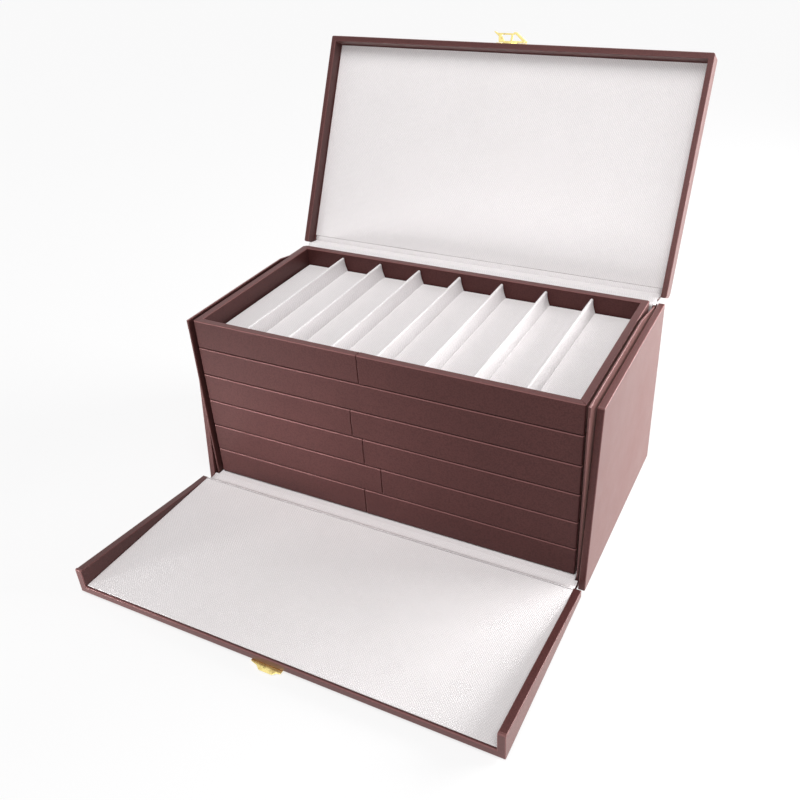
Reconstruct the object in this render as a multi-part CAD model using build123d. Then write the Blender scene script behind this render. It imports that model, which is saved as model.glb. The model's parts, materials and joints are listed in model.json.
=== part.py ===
from build123d import *
import math
import os

# Watch strap display case: a neck box of wrapped board that holds a stack of lift-out trays.
# Millimetres. X runs to the right, Y to the back and Z up. The origin is the centre of the
# underside of the case. The lid and the drop front are drawn shut and then swung open.

# Trays
tray_width = 350.0
tray_depth = 179.0
tray_height = 26.85
tray_count = 6
tray_stack_gap = 0.2
tray_wall = 6.3
tray_corner_radius = 1.6
tray_rim_round = 1.4
tray_floor_board = 3.5
tray_pad_thickness = 6.75
tray_fit = 0.15

# Dividers in a tray
compartment_count = 8
divider_height = 13.2
divider_crest = 3.0
divider_foot = 9.0
divider_end_gap = 0.3

# Boards and cloth of the case
wrapped_board = 6.3
floor_board = 5.0
floor_lining_thickness = 1.3
lining = 0.9
board_round = 1.0
neck_board = 2.8
neck_round = 0.6
neck_rise = 1.2
neck_front_set_back = 3.0
neck_slope_start = 46.0
neck_slope_drop = 8.5
stack_rise = 6.6

# Clearances inside the case
tray_side_gap = 1.4
neck_panel_gap = 0.5
tray_back_gap = 4.4
tray_front_gap = 6.5
flap_floor_gap = 1.5
flap_seat_gap = 0.5
lid_seat_gap = 0.4

# Drop front
flange_rake = 17.2
flap_bottom_lift = 3.2
flap_lining_margin = 2.0
flap_rest_height = 2.25
flap_axis_height = 1.6
flap_opening = 90.0

# Lid and its spine
lid_board = 5.0
lid_recess = 11.3
lid_lining_back_margin = 8.0
lid_board_back_margin = 4.0
spine_board_thickness = 2.6
spine_lift = 1.2
spine_end_gap = 0.5
spine_length = 12.4
spine_axis_out = 0.3
spine_axis_drop = 0.1
lid_axis_in = 0.7
lid_axis_below_top = 1.6
lid_back_drop = 6.0
spine_opening = 100.0
lid_extra_opening = 16.0

# Hinge cloth
cloth = 0.6
cloth_clearance = 0.15
cover_hold = 4.0

# Hasp on the lid and catch on the drop front
plate_thickness = 0.7
hasp_arm_thickness = 0.7
hasp_arm_gap = 0.25
hasp_plate_width = 30.0
hasp_plate_height = 7.0
hasp_plate_shift = 2.5
hasp_axis_above_seam = 8.0
hasp_barrel_radius = 1.05
hasp_pin_radius = 0.45
hasp_running_clearance = 0.06
hasp_knuckle_left = -6.0
hasp_knuckle_right = 8.0
hasp_knuckle_gap = 0.25
hasp_plate_corner = 2.4
hasp_rivet_inset = 4.0
catch_reach = 6.0
catch_body_height = 9.0
catch_rivets_x = (-10.0, 8.0)
knob_x = -2.2
knob_above_edge = 2.5
knob_post_radius = 1.1
knob_head_radius = 2.0
knob_head_gap = 0.1
rivet_head_radius = 1.5
rivet_head_height = 0.5
rivet_shank_radius = 0.6
rivet_shank_length = 3.0
rivet_clearance = 0.05

# Heights that follow
tray_pitch = tray_height + tray_stack_gap
floor_top = floor_board + floor_lining_thickness
stack_bottom = floor_top + tray_stack_gap
stack_top = stack_bottom + tray_count * tray_pitch - tray_stack_gap
panel_top = stack_top - stack_rise
neck_top = stack_top + neck_rise
rim_face = panel_top + lid_seat_gap
lid_lining_level = rim_face + lid_recess
lid_board_level = lid_lining_level + lining
lid_top = lid_board_level + lid_board

# Widths that follow, as distances from the middle plane
neck_inner = tray_width / 2 + tray_side_gap
neck_outer = neck_inner + neck_board
panel_inner = neck_outer + neck_panel_gap
panel_outer = panel_inner + wrapped_board

# Depths that follow, from the front to the back
case_depth = (
    tray_front_gap + flap_floor_gap - flap_seat_gap + tray_depth
    + tray_back_gap + lining + wrapped_board
)
back_face = case_depth / 2
panel_front = -case_depth / 2
back_inner = back_face - wrapped_board
back_lining_face = back_inner - lining
tray_back = back_lining_face - tray_back_gap
tray_front = tray_back - tray_depth
floor_front = tray_front - tray_front_gap
neck_front = floor_front + neck_front_set_back
flap_inner_face = floor_front - flap_floor_gap
flap_outer_face = flap_inner_face - wrapped_board

# Axes of the creases, drawn on the shut case
spine_axis = (back_face + spine_axis_out, panel_top - spine_axis_drop)
lid_axis = (back_face - lid_axis_in, lid_top - lid_axis_below_top)
flap_axis = (
    flap_outer_face + flap_axis_height - flap_rest_height,
    flap_axis_height,
)
hasp_axis = (
    flap_outer_face - plate_thickness - hasp_arm_gap - hasp_arm_thickness / 2,
    rim_face + hasp_axis_above_seam,
)


def box(x0, x1, y0, y1, z0, z1):
    """A rectangular block between two corners."""
    block = Box(x1 - x0, y1 - y0, z1 - z0, align=(Align.MIN, Align.MIN, Align.MIN))
    return Pos(x0, y0, z0) * block


def across(points, x0, x1):
    """A bar whose section is the outline of (y, z) points, from x0 to x1."""
    outline = Polyline(*[(y, z) for y, z in points], close=True)
    section = Plane.YZ * make_face(outline)
    return Pos(x0, 0, 0) * extrude(section, amount=x1 - x0)


def lengthwise(profile, y0, y1):
    """A bar along Y whose section is a face drawn with X across and Z up."""
    section = Plane.XZ * profile
    return Pos(0, y1, 0) * extrude(section, amount=y1 - y0)


def upright_edges(solid):
    """The edges of a solid that run along Z."""
    return solid.edges().filter_by(Axis.Z)


def softened(solid, radius):
    """A board with every edge rounded, as its wrapping rounds it."""
    return fillet(solid.edges(), radius)


def swing(piece, axis, degrees):
    """A piece turned backwards about an X-wise crease at (y, z)."""
    y, z = axis
    return Pos(0, y, z) * Rot(X=-degrees) * Pos(0, -y, -z) * piece


def lid_open(piece):
    """A piece of the lid, moved from shut to the open pose."""
    return swing(swing(piece, lid_axis, lid_extra_opening), spine_axis, spine_opening)


def spine_open(piece):
    """A piece of the spine, moved from shut to the open pose."""
    return swing(piece, spine_axis, spine_opening)


def flap_open(piece):
    """A piece of the drop front, moved from shut to lying on the table."""
    return swing(piece, flap_axis, -flap_opening)


def swung_point(point, axis, degrees):
    """A (y, z) point turned backwards about a crease."""
    angle = math.radians(-degrees)
    y = point[0] - axis[0]
    z = point[1] - axis[1]
    return (
        axis[0] + y * math.cos(angle) - z * math.sin(angle),
        axis[1] + y * math.sin(angle) + z * math.cos(angle),
    )


def lid_point(point):
    """Where a (y, z) point of the shut lid lies when the lid is open."""
    return swung_point(swung_point(point, lid_axis, lid_extra_opening), spine_axis, spine_opening)


# Case

def make_floor_board():
    return box(-panel_inner, panel_inner, floor_front, back_inner, 0, floor_board)


def make_floor_lining():
    return box(-neck_inner, neck_inner, floor_front, back_lining_face, floor_board, floor_top)


def make_back_board():
    return box(-panel_inner, panel_inner, back_inner, back_face, 0, panel_top - lining)


def make_back_lining():
    """Lining of the back board, turned over its top edge."""
    points = [
        (back_lining_face, floor_board),
        (back_inner, floor_board),
        (back_inner, panel_top - lining),
        (back_face, panel_top - lining),
        (back_face, panel_top),
        (back_lining_face, panel_top),
    ]
    return across(points, -neck_inner, neck_inner)


def make_side_panel(side):
    """Outer side whose front edge leans back, to meet the flange of the drop front."""
    points = [
        (panel_front, 0),
        (back_face, 0),
        (back_face, panel_top),
        (panel_front + flange_rake, panel_top),
    ]
    panel = softened(across(points, panel_inner, panel_outer), board_round)
    return panel if side > 0 else mirror(panel, Plane.YZ)


def make_neck_board(side):
    """Inner board that stands above the side and locates the lid, sloped at the back."""
    points = [
        (neck_front, floor_board),
        (back_inner, floor_board),
        (back_inner, neck_top - neck_slope_drop),
        (back_inner - neck_slope_start, neck_top),
        (neck_front, neck_top),
    ]
    neck = softened(across(points, neck_inner, neck_outer), neck_round)
    return neck if side > 0 else mirror(neck, Plane.YZ)


# Trays

def tray_bottom(number):
    """Height of the underside of a tray, counted from 1 at the bottom."""
    return stack_bottom + (number - 1) * tray_pitch


def make_tray_frame(number):
    """Four mitred walls as one wrapped ring."""
    z0 = tray_bottom(number)
    z1 = z0 + tray_height
    outer = box(-tray_width / 2, tray_width / 2, tray_front, tray_back, z0, z1)
    outer = fillet(upright_edges(outer), tray_corner_radius)
    inner = box(
        -tray_width / 2 + tray_wall, tray_width / 2 - tray_wall,
        tray_front + tray_wall, tray_back - tray_wall, z0, z1,
    )
    ring = outer - inner
    rim = ring.edges().filter_by(GeomType.LINE).filter_by_position(Axis.Z, z1, z1)
    return fillet(rim, tray_rim_round)


def make_tray_floor(number):
    """Board that closes the frame from below."""
    half = tray_width / 2 - tray_wall - tray_fit
    z0 = tray_bottom(number)
    return box(
        -half, half, tray_front + tray_wall + tray_fit, tray_back - tray_wall - tray_fit,
        z0, z0 + tray_floor_board,
    )


def make_tray_pad(number):
    """Cloth-covered pad that the straps lie on."""
    half = tray_width / 2 - tray_wall - tray_fit
    z0 = tray_bottom(number) + tray_floor_board
    return box(
        -half, half, tray_front + tray_wall + tray_fit, tray_back - tray_wall - tray_fit,
        z0, z0 + tray_pad_thickness,
    )


def divider_profile():
    """Thin board under cloth: a round crest that flares to a wide foot."""
    crest = divider_crest / 2
    foot = divider_foot / 2
    shoulder = divider_height - crest
    waist = divider_height * 0.45
    bulge = 0.24
    mid = (crest + (foot - crest) * bulge, waist * 0.5)
    right = ThreePointArc((foot, 0), mid, (crest, waist))
    right_side = Line((crest, waist), (crest, shoulder))
    top = ThreePointArc((crest, shoulder), (0, divider_height), (-crest, shoulder))
    left_side = Line((-crest, shoulder), (-crest, waist))
    left = ThreePointArc((-crest, waist), (-mid[0], mid[1]), (-foot, 0))
    base = Line((-foot, 0), (foot, 0))
    return make_face([right, right_side, top, left_side, left, base])


def make_tray_dividers(number):
    """Equal compartments across the tray, parted by covered ribs."""
    pitch = (tray_width - 2 * tray_wall) / compartment_count
    start = -tray_width / 2 + tray_wall
    z0 = tray_bottom(number) + tray_floor_board + tray_pad_thickness
    rib = lengthwise(
        divider_profile(),
        tray_front + tray_wall + divider_end_gap,
        tray_back - tray_wall - divider_end_gap,
    )
    return [Pos(start + pitch * (i + 1), 0, z0) * rib for i in range(compartment_count - 1)]


# Spine and lid

def spine_span():
    """Lower and upper ends of the upright, shut spine."""
    bottom = panel_top + spine_lift
    return bottom, bottom + spine_length


def make_spine_board():
    bottom, top = spine_span()
    half = panel_inner - spine_end_gap
    board = box(-half, half, back_face - spine_board_thickness, back_face, bottom, top)
    return spine_open(board)


def make_spine_lining():
    bottom, top = spine_span()
    half = panel_inner - spine_end_gap
    inner = back_face - spine_board_thickness
    return spine_open(box(-half, half, inner - lining, inner, bottom, top))


def make_lid_board():
    """Top board, short of the back so that the crease has room to roll."""
    back = back_face - lid_board_back_margin
    board = box(-panel_inner, panel_inner, flap_inner_face, back, lid_board_level, lid_top)
    return lid_open(board)


def make_lid_rim(side):
    """Side wall of the lid. Its hinge end is rounded off at the top."""
    points = [
        (flap_inner_face, rim_face),
        (back_face, rim_face),
        (back_face, lid_top - lid_back_drop),
        (back_face - lid_board_back_margin, lid_top),
        (flap_inner_face, lid_top),
    ]
    rim = softened(across(points, panel_inner, panel_outer), board_round)
    rim = rim if side > 0 else mirror(rim, Plane.YZ)
    return lid_open(rim)


def make_lid_rim_front():
    front = box(
        -panel_outer, panel_outer, flap_outer_face, flap_inner_face, rim_face, lid_top,
    )
    front = softened(front, board_round)
    for hole in rivet_holes(hasp_rivet_places(), flap_outer_face):
        front = front - hole
    return lid_open(front)


def make_lid_lining():
    half = panel_inner - cloth_clearance
    sheet = box(
        -half, half, flap_inner_face + cloth_clearance, back_face - lid_lining_back_margin,
        lid_lining_level, lid_board_level,
    )
    return lid_open(sheet)


# Drop front

def make_flap_board():
    board = box(
        -panel_outer, panel_outer, flap_outer_face, flap_inner_face,
        flap_bottom_lift, panel_top,
    )
    board = softened(board, board_round)
    for hole in rivet_holes(catch_rivet_places(), flap_outer_face):
        board = board - hole
    return flap_open(board)


def make_flap_flange(side):
    """Tapering side wall of the drop front, deepest at its free end."""
    lean = flange_rake / panel_top
    points = [
        (flap_inner_face, flap_bottom_lift + board_round),
        (flap_inner_face + lean * (flap_bottom_lift + board_round), flap_bottom_lift + board_round),
        (flap_inner_face + flange_rake, panel_top),
        (flap_inner_face, panel_top),
    ]
    flange = across(points, panel_inner, panel_outer)
    flange = flange if side > 0 else mirror(flange, Plane.YZ)
    return flap_open(flange)


def make_flap_lining():
    half = panel_inner - cloth_clearance
    sheet = box(
        -half, half, flap_inner_face, flap_inner_face + lining,
        flap_bottom_lift + flap_lining_margin, panel_top - flap_lining_margin,
    )
    return flap_open(sheet)


# Hinge cloth

def band(upper, lower, half_width):
    """A strip of cloth between two lines of (y, z) points."""
    return across(upper + lower[::-1], -half_width, half_width)


def lowered(points, drop):
    """The same points, lower down."""
    return [(y, z - drop) for y, z in points]


def make_flap_crease_lining():
    """Lining that crosses the gap between the floor and the drop front."""
    start = floor_front - cloth_clearance
    flap_edge = swung_point((flap_inner_face, flap_bottom_lift), flap_axis, -flap_opening)
    end = flap_edge[0] + cloth_clearance
    upper = [
        (end, flap_edge[1] - board_round - cloth_clearance),
        ((start + end) / 2, floor_board * 0.8),
        (start, floor_board),
    ]
    return band(upper, lowered(upper, cloth), panel_inner - cloth_clearance)


def make_flap_crease_cover():
    """Outer covering that crosses the same gap on the table side."""
    start = floor_front - cloth_clearance
    flap_edge = swung_point((flap_outer_face, flap_bottom_lift), flap_axis, -flap_opening)
    end = flap_edge[0] + cloth_clearance
    upper = [
        (end, flap_edge[1] + board_round + cloth),
        (start, cloth + cloth_clearance),
    ]
    return band(upper, lowered(upper, cloth), panel_inner - cloth_clearance)


def make_back_crease_lining():
    """Lining that rises from the back board to the open spine."""
    inner = back_face - spine_board_thickness - lining
    corner = swung_point((inner, spine_span()[0]), spine_axis, spine_opening)
    level = panel_top + cloth + cloth_clearance
    upper = [
        (back_inner + cloth, level),
        (back_face - 2 * cloth, level),
        (corner[0] - 2 * cloth_clearance, corner[1] - cloth_clearance),
    ]
    return band(upper, lowered(upper, cloth), panel_inner - spine_end_gap)


def make_back_crease_cover():
    """Outer covering, glued to the back board and to the outer face of the spine."""
    near = swung_point((back_face, spine_span()[0]), spine_axis, spine_opening)
    far = swung_point((back_face, spine_span()[0] + cover_hold), spine_axis, spine_opening)
    face = back_face + cloth_clearance
    upper = [
        (face, near[1] - cover_hold),
        (face, near[1] - 2 * cloth_clearance),
        (near[0], near[1] - 2 * cloth_clearance),
        (far[0], far[1] - 2 * cloth_clearance),
    ]
    lower = [
        (face + cloth, near[1] - cover_hold),
        (face + cloth, near[1] - 2 * cloth_clearance - cloth),
        (near[0], near[1] - 2 * cloth_clearance - cloth),
        (far[0], far[1] - 2 * cloth_clearance - cloth),
    ]
    return band(upper, lower, panel_inner - spine_end_gap)


def make_lid_crease_lining():
    """Lining under the back edge of the lid board, thinner than the sheet beside it."""
    start = back_face - lid_lining_back_margin + cloth_clearance
    end = back_face - lid_board_back_margin + cloth
    upper = [(start, lid_board_level), (end, lid_board_level)]
    strip = band(upper, lowered(upper, cloth), panel_inner - spine_end_gap)
    return lid_open(strip)


def make_lid_crease_cover():
    """Outer covering round the corner between the open spine and the lid board."""
    top = spine_span()[1]
    board_back = back_face - lid_board_back_margin
    corner = swung_point((board_back, lid_top), lid_axis, lid_extra_opening)
    outer = [
        (back_face, top + cloth_clearance),
        (back_face - cloth / 2, (top + corner[1]) / 2),
        (corner[0] + 2 * cloth_clearance, corner[1] - cloth_clearance),
    ]
    inner = [
        (back_face - cloth, top + cloth_clearance),
        (back_face - 3 * cloth / 2, (top + corner[1]) / 2 - cloth / 2),
        (corner[0] + cloth_clearance, corner[1] - 2 * cloth),
    ]
    return spine_open(band(outer, inner, panel_inner - spine_end_gap))


# Hasp and catch

def facing(outline, y_back, thickness):
    """A plate with an (x, z) outline, standing in front of a plane that faces the front."""
    section = Plane.XZ * outline
    return Pos(0, y_back, 0) * extrude(section, amount=thickness)


def rod(x0, x1, axis, radius):
    """A round bar along X about a (y, z) axis."""
    bar = Plane.YZ * Circle(radius)
    return Pos(x0, axis[0], axis[1]) * extrude(bar, amount=x1 - x0)


def hasp_plate_span():
    """Left and right ends of the plate on the lid."""
    return hasp_plate_shift - hasp_plate_width / 2, hasp_plate_shift + hasp_plate_width / 2


def hasp_rivet_places():
    """The (x, z) places of the rivets in the hasp plate."""
    left, right = hasp_plate_span()
    level = hasp_axis[1] + hasp_barrel_radius + hasp_plate_height / 2
    return [(left + hasp_rivet_inset, level), (right - hasp_rivet_inset, level)]


def catch_rivet_places():
    """The (x, z) places of the rivets in the catch plate."""
    level = panel_top - catch_body_height * 0.55
    return [(x, level) for x in catch_rivets_x]


def rivet_holes(places, face):
    """Blind holes into a board whose front face is at the given depth."""
    depth = rivet_shank_length + rivet_clearance
    radius = rivet_shank_radius + rivet_clearance
    holes = []
    for x, z in places:
        hole = Plane.XZ * Circle(radius)
        holes.append(Pos(x, face + depth, z) * extrude(hole, amount=depth + 2.0))
    return holes


def make_rivets(places):
    """Domed rivets that hold a plate to the board behind it."""
    rivets = []
    plate_face = flap_outer_face - plate_thickness
    for x, z in places:
        shank = Plane.XZ * Circle(rivet_shank_radius)
        shank = Pos(x, flap_outer_face + rivet_shank_length, z) * extrude(
            shank, amount=rivet_shank_length + plate_thickness + rivet_head_height / 2,
        )
        head = Plane.XZ * Circle(rivet_head_radius)
        head = Pos(x, plate_face, z) * extrude(head, amount=rivet_head_height)
        rim = head.edges().sort_by(Axis.Y)[0]
        head = fillet(rim, rivet_head_height * 0.8)
        rivets.append(head + shank)
    return rivets


def make_hasp_plate():
    """Plate on the lid, with a rolled knuckle at each end of its lower edge."""
    left, right = hasp_plate_span()
    lower = hasp_axis[1] + hasp_barrel_radius + hasp_running_clearance + 0.3
    upper = lower + hasp_plate_height
    plate = box(left, right, flap_outer_face - plate_thickness, flap_outer_face, lower, upper)
    corners = plate.edges().filter_by(Axis.Y).group_by(Axis.Z)[-1]
    plate = fillet(corners, hasp_plate_corner)
    ends = [
        (left, hasp_knuckle_left - hasp_knuckle_gap),
        (hasp_knuckle_right + hasp_knuckle_gap, right),
    ]
    for x0, x1 in ends:
        web = box(x0, x1, flap_outer_face - plate_thickness, flap_outer_face, hasp_axis[1], lower)
        plate = plate + web + rod(x0, x1, hasp_axis, hasp_barrel_radius)
    bore = rod(left - 1.0, right + 1.0, hasp_axis, hasp_pin_radius + 0.02)
    plate = plate - bore
    for x, z in hasp_rivet_places():
        hole = Plane.XZ * Circle(rivet_shank_radius + rivet_clearance)
        plate = plate - Pos(x, flap_outer_face + 1.0, z) * extrude(hole, amount=4.0)
    return lid_open(plate)


def make_hasp_pin():
    left, right = hasp_plate_span()
    return lid_open(rod(left - 0.4, right + 0.4, hasp_axis, hasp_pin_radius))


def hasp_outline():
    """Openwork hasp leaf: x across, and the distance from the pin upwards."""
    root = hasp_barrel_radius + 0.45
    points = [
        (hasp_knuckle_left, 0.0),
        (hasp_knuckle_left, root),
        (-10.6, root),
        (-11.4, 6.8),
        (-13.8, 8.4),
        (-16.6, 10.6),
        (-15.4, 11.1),
        (-12.2, 9.6),
        (2.6, 9.7),
        (3.4, 10.8),
        (6.6, 10.6),
        (17.6, 2.7),
        (17.0, root),
        (hasp_knuckle_right, root),
        (hasp_knuckle_right, 0.0),
    ]
    return make_face(Polyline(*points, close=True))


def hasp_windows():
    """The window that drops over the knob, and the three-cornered one beside it."""
    knob_window = [(-4.6, 2.8), (-8.8, 8.2), (0.9, 8.2), (0.9, 2.8)]
    side_window = [(3.1, 3.0), (3.1, 8.7), (5.2, 8.7), (12.4, 3.0)]
    return [make_face(Polyline(*points, close=True)) for points in (knob_window, side_window)]


def make_hasp_arm():
    """Leaf that stands out from the lid while open and drops over the knob when shut."""
    leaf = hasp_outline()
    for window in hasp_windows():
        leaf = leaf - window
    section = Plane.XY * leaf
    body = extrude(section, amount=hasp_arm_thickness / 2, both=True)
    body = body + rod(hasp_knuckle_left, hasp_knuckle_right, (0, 0), hasp_barrel_radius)
    body = body - rod(
        hasp_knuckle_left - 1.0, hasp_knuckle_right + 1.0, (0, 0),
        hasp_pin_radius + hasp_running_clearance,
    )
    standing = Pos(0, hasp_axis[0], hasp_axis[1]) * mirror(body, Plane.XZ)
    return lid_open(standing)


def catch_outline():
    """Catch plate: x across and z up the shut drop front, with a tongue past its edge."""
    points = [
        (-14.0, panel_top - catch_body_height),
        (12.0, panel_top - catch_body_height),
        (12.0, panel_top + catch_reach * 0.5),
        (9.0, panel_top + catch_reach * 0.55),
        (6.5, panel_top + catch_reach),
        (-5.5, panel_top + catch_reach),
        (-9.0, panel_top + catch_reach * 0.5),
        (-15.6, panel_top + catch_reach * 0.2),
    ]
    return make_face(Polyline(*points, close=True))


def make_catch_plate():
    plate = facing(catch_outline(), flap_outer_face, plate_thickness)
    for x, z in catch_rivet_places():
        hole = Plane.XZ * Circle(rivet_shank_radius + rivet_clearance)
        plate = plate - Pos(x, flap_outer_face + 1.0, z) * extrude(hole, amount=4.0)
    seat = Plane.XZ * Circle(knob_post_radius)
    seat = Pos(knob_x, flap_outer_face + 1.0, panel_top + knob_above_edge) * extrude(seat, amount=4.0)
    return flap_open(plate - seat)


def make_catch_knob():
    """Headed stud on the tongue, for the window of the hasp."""
    arm_outer = plate_thickness + hasp_arm_gap + hasp_arm_thickness
    head_start = arm_outer + knob_head_gap
    head_height = flap_rest_height - 0.05 - head_start
    post = Plane.XZ * Circle(knob_post_radius)
    post = Pos(knob_x, flap_outer_face, panel_top + knob_above_edge) * extrude(
        post, amount=head_start + head_height / 2,
    )
    head = Plane.XZ * Circle(knob_head_radius)
    head = Pos(knob_x, flap_outer_face - head_start, panel_top + knob_above_edge) * extrude(
        head, amount=head_height,
    )
    return flap_open(post + head)


def solids_of(shape):
    """The solids of a shape or of a list of shapes."""
    if isinstance(shape, (list, tuple)):
        return [solid for item in shape for solid in solids_of(item)]
    return list(shape.solids())


def nodes():
    """Every node of the case by name."""
    made = {
        "floor_board": make_floor_board(),
        "floor_lining": make_floor_lining(),
        "back_board": make_back_board(),
        "back_lining": make_back_lining(),
        "side_panel_left": make_side_panel(-1),
        "side_panel_right": make_side_panel(1),
        "neck_board_left": make_neck_board(-1),
        "neck_board_right": make_neck_board(1),
        "spine_board": make_spine_board(),
        "spine_lining": make_spine_lining(),
        "lid_board": make_lid_board(),
        "lid_rim_left": make_lid_rim(-1),
        "lid_rim_right": make_lid_rim(1),
        "lid_rim_front": make_lid_rim_front(),
        "lid_lining": make_lid_lining(),
        "hasp_plate": make_hasp_plate(),
        "hasp_rivets": [lid_open(rivet) for rivet in make_rivets(hasp_rivet_places())],
        "hasp_pin": make_hasp_pin(),
        "hasp_arm": make_hasp_arm(),
        "flap_board": make_flap_board(),
        "flap_flange_left": make_flap_flange(-1),
        "flap_flange_right": make_flap_flange(1),
        "flap_lining": make_flap_lining(),
        "catch_plate": make_catch_plate(),
        "catch_knob": make_catch_knob(),
        "catch_rivets": [flap_open(rivet) for rivet in make_rivets(catch_rivet_places())],
        "back_crease_lining": make_back_crease_lining(),
        "back_crease_cover": make_back_crease_cover(),
        "lid_crease_lining": make_lid_crease_lining(),
        "lid_crease_cover": make_lid_crease_cover(),
        "flap_crease_lining": make_flap_crease_lining(),
        "flap_crease_cover": make_flap_crease_cover(),
    }
    for number in range(1, tray_count + 1):
        made[f"tray_{number}_frame"] = make_tray_frame(number)
        made[f"tray_{number}_floor"] = make_tray_floor(number)
        made[f"tray_{number}_pad"] = make_tray_pad(number)
        made[f"tray_{number}_dividers"] = make_tray_dividers(number)
    return made


os.makedirs("parts", exist_ok=True)
for name, shape in nodes().items():
    export_step(Compound(children=solids_of(shape)), f"parts/{name}.step")

print("spine axis", spine_axis, "lid axis open", swung_point(lid_axis, spine_axis, spine_opening))
print("flap axis", flap_axis, "hasp axis open", lid_point(hasp_axis))
print("widths", 2 * panel_outer, "depth", case_depth, "lid top shut", lid_top)
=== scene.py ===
"""Watch strap display case: wrapped boards, padded trays, cloth hinges and a gilt hasp."""
import json
import math
from itertools import product

import bmesh
import bpy
from bpy.props import FloatProperty, FloatVectorProperty, PointerProperty
from mathutils import Matrix, Vector, noise


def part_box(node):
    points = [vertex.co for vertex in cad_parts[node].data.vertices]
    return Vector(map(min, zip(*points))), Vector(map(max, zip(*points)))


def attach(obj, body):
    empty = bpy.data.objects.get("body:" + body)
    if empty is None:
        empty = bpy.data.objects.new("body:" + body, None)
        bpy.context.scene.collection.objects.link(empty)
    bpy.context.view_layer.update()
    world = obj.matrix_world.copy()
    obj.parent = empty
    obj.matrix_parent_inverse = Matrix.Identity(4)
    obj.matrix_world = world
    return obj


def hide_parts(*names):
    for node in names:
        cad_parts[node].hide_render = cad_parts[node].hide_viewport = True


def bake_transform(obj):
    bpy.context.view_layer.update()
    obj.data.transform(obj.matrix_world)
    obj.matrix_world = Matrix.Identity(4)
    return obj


bl_info = {
    "name": "Watch strap display case",
    "version": (1, 0, 0),
    "blender": (4, 5, 0),
    "location": "View3D > Sidebar > Display case",
    "description": "Builds the looks of a display case with lift-out strap trays",
    "category": "Object",
}

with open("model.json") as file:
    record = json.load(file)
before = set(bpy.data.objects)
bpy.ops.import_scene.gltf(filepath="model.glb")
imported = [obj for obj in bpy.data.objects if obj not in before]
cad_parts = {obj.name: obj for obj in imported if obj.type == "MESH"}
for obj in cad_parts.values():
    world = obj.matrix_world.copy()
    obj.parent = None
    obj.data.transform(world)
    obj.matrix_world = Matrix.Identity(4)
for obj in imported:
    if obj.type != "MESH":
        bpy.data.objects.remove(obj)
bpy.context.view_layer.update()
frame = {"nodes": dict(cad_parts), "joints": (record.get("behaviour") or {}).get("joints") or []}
MM = 0.001

# Without a seed, the slow shifts of the boards would differ from run to run
noise.seed_set(1)


def corners(node):
    """Lowest and highest corner of a solid, in millimetres."""
    low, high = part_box(node)
    return low / MM, high / MM


# Sizes that the solids give, in millimetres
panel_low, panel_high = corners("side_panel_right")
neck_low, neck_high = corners("neck_board_right")
floor_low, floor_high = corners("floor_board")
back_low, back_high = corners("back_board")
flap_low, flap_high = corners("flap_board")
flange_low, flange_high = corners("flap_flange_right")
panel_inner, panel_outer = panel_low.x, panel_high.x
panel_front, back_face = panel_low.y, panel_high.y
panel_top = panel_high.z
spine_half = corners("spine_board")[1].x
tray_numbers = range(1, 7)

# Sizes of the shut lid and spine, and the slope of the neck boards, in millimetres
rim_face = 162.4
lining_level = 173.7
board_level = 174.6
lid_top = 179.6
lid_front_outer = -105.85
lid_front_inner = -99.55
board_back = 95.05
lid_back_drop = 6.0
lining_back = 91.05
spine_thickness = 2.6
lining_thickness = 0.9
spine_bottom = 163.2
spine_top = 175.6
neck_slope_start = 46.0
neck_slope_drop = 8.5
compartments = 8

# Sizes of the coverings and of the metal, in millimetres
thin_round = 0.6
lining_round = 0.35
sheet_round = 0.4
fold_round = 0.3
fold_rise = 0.25
neck_trim_inner = 1.0
neck_trim_outer = 0.3
wrap_thickness = 0.45
crease_lining_trim = 0.2
crease_wrap_trim = 1.2
tray_corner_outer = 1.7
tray_corner_inner = 0.6
mitre_groove = 0.45
pad_play = 0.15
metal_thickness = 0.7
metal_edge = 0.16
barrel_radius = 1.05

# Unevenness of a wrapped face: how far apart its slow shifts are, in millimetres
wander_length = 55.0

# Edges that turn more than this are rounded, in radians
sharp_turn = 0.5

# Painted highlight on the covering, with some edge wear: at an edge that faces the light, at other edges and
# on the tops of the tray rims, and on a flat face that faces the light
edge_highlight_and_wear = 1.0
faint_highlight_and_wear = 0.35
face_highlight = 0.45

# Creases, as (y, z) points on the shut case, and how far each opens in degrees
joint_place = {joint["name"]: joint.get("pos_m") for joint in frame["joints"]}
spine_crease = [value / MM for value in joint_place["spine_fold"][1:]]
flap_crease = [value / MM for value in joint_place["drop_front_fold"][1:]]
spine_turn = 100.0
lid_turn = 16.0
lid_crease = (98.35, 178.0)


def swing(crease, degrees):
    """A backward turn about an X-wise crease, as a matrix in millimetres."""
    place = Matrix.Translation((0, crease[0], crease[1]))
    return place @ Matrix.Rotation(math.radians(-degrees), 4, "X") @ place.inverted()


stay = Matrix.Identity(4)
spine_open = swing(spine_crease, spine_turn)
lid_open = spine_open @ swing(lid_crease, lid_turn)
flap_open = swing(flap_crease, -90.0)


# Settings

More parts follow.
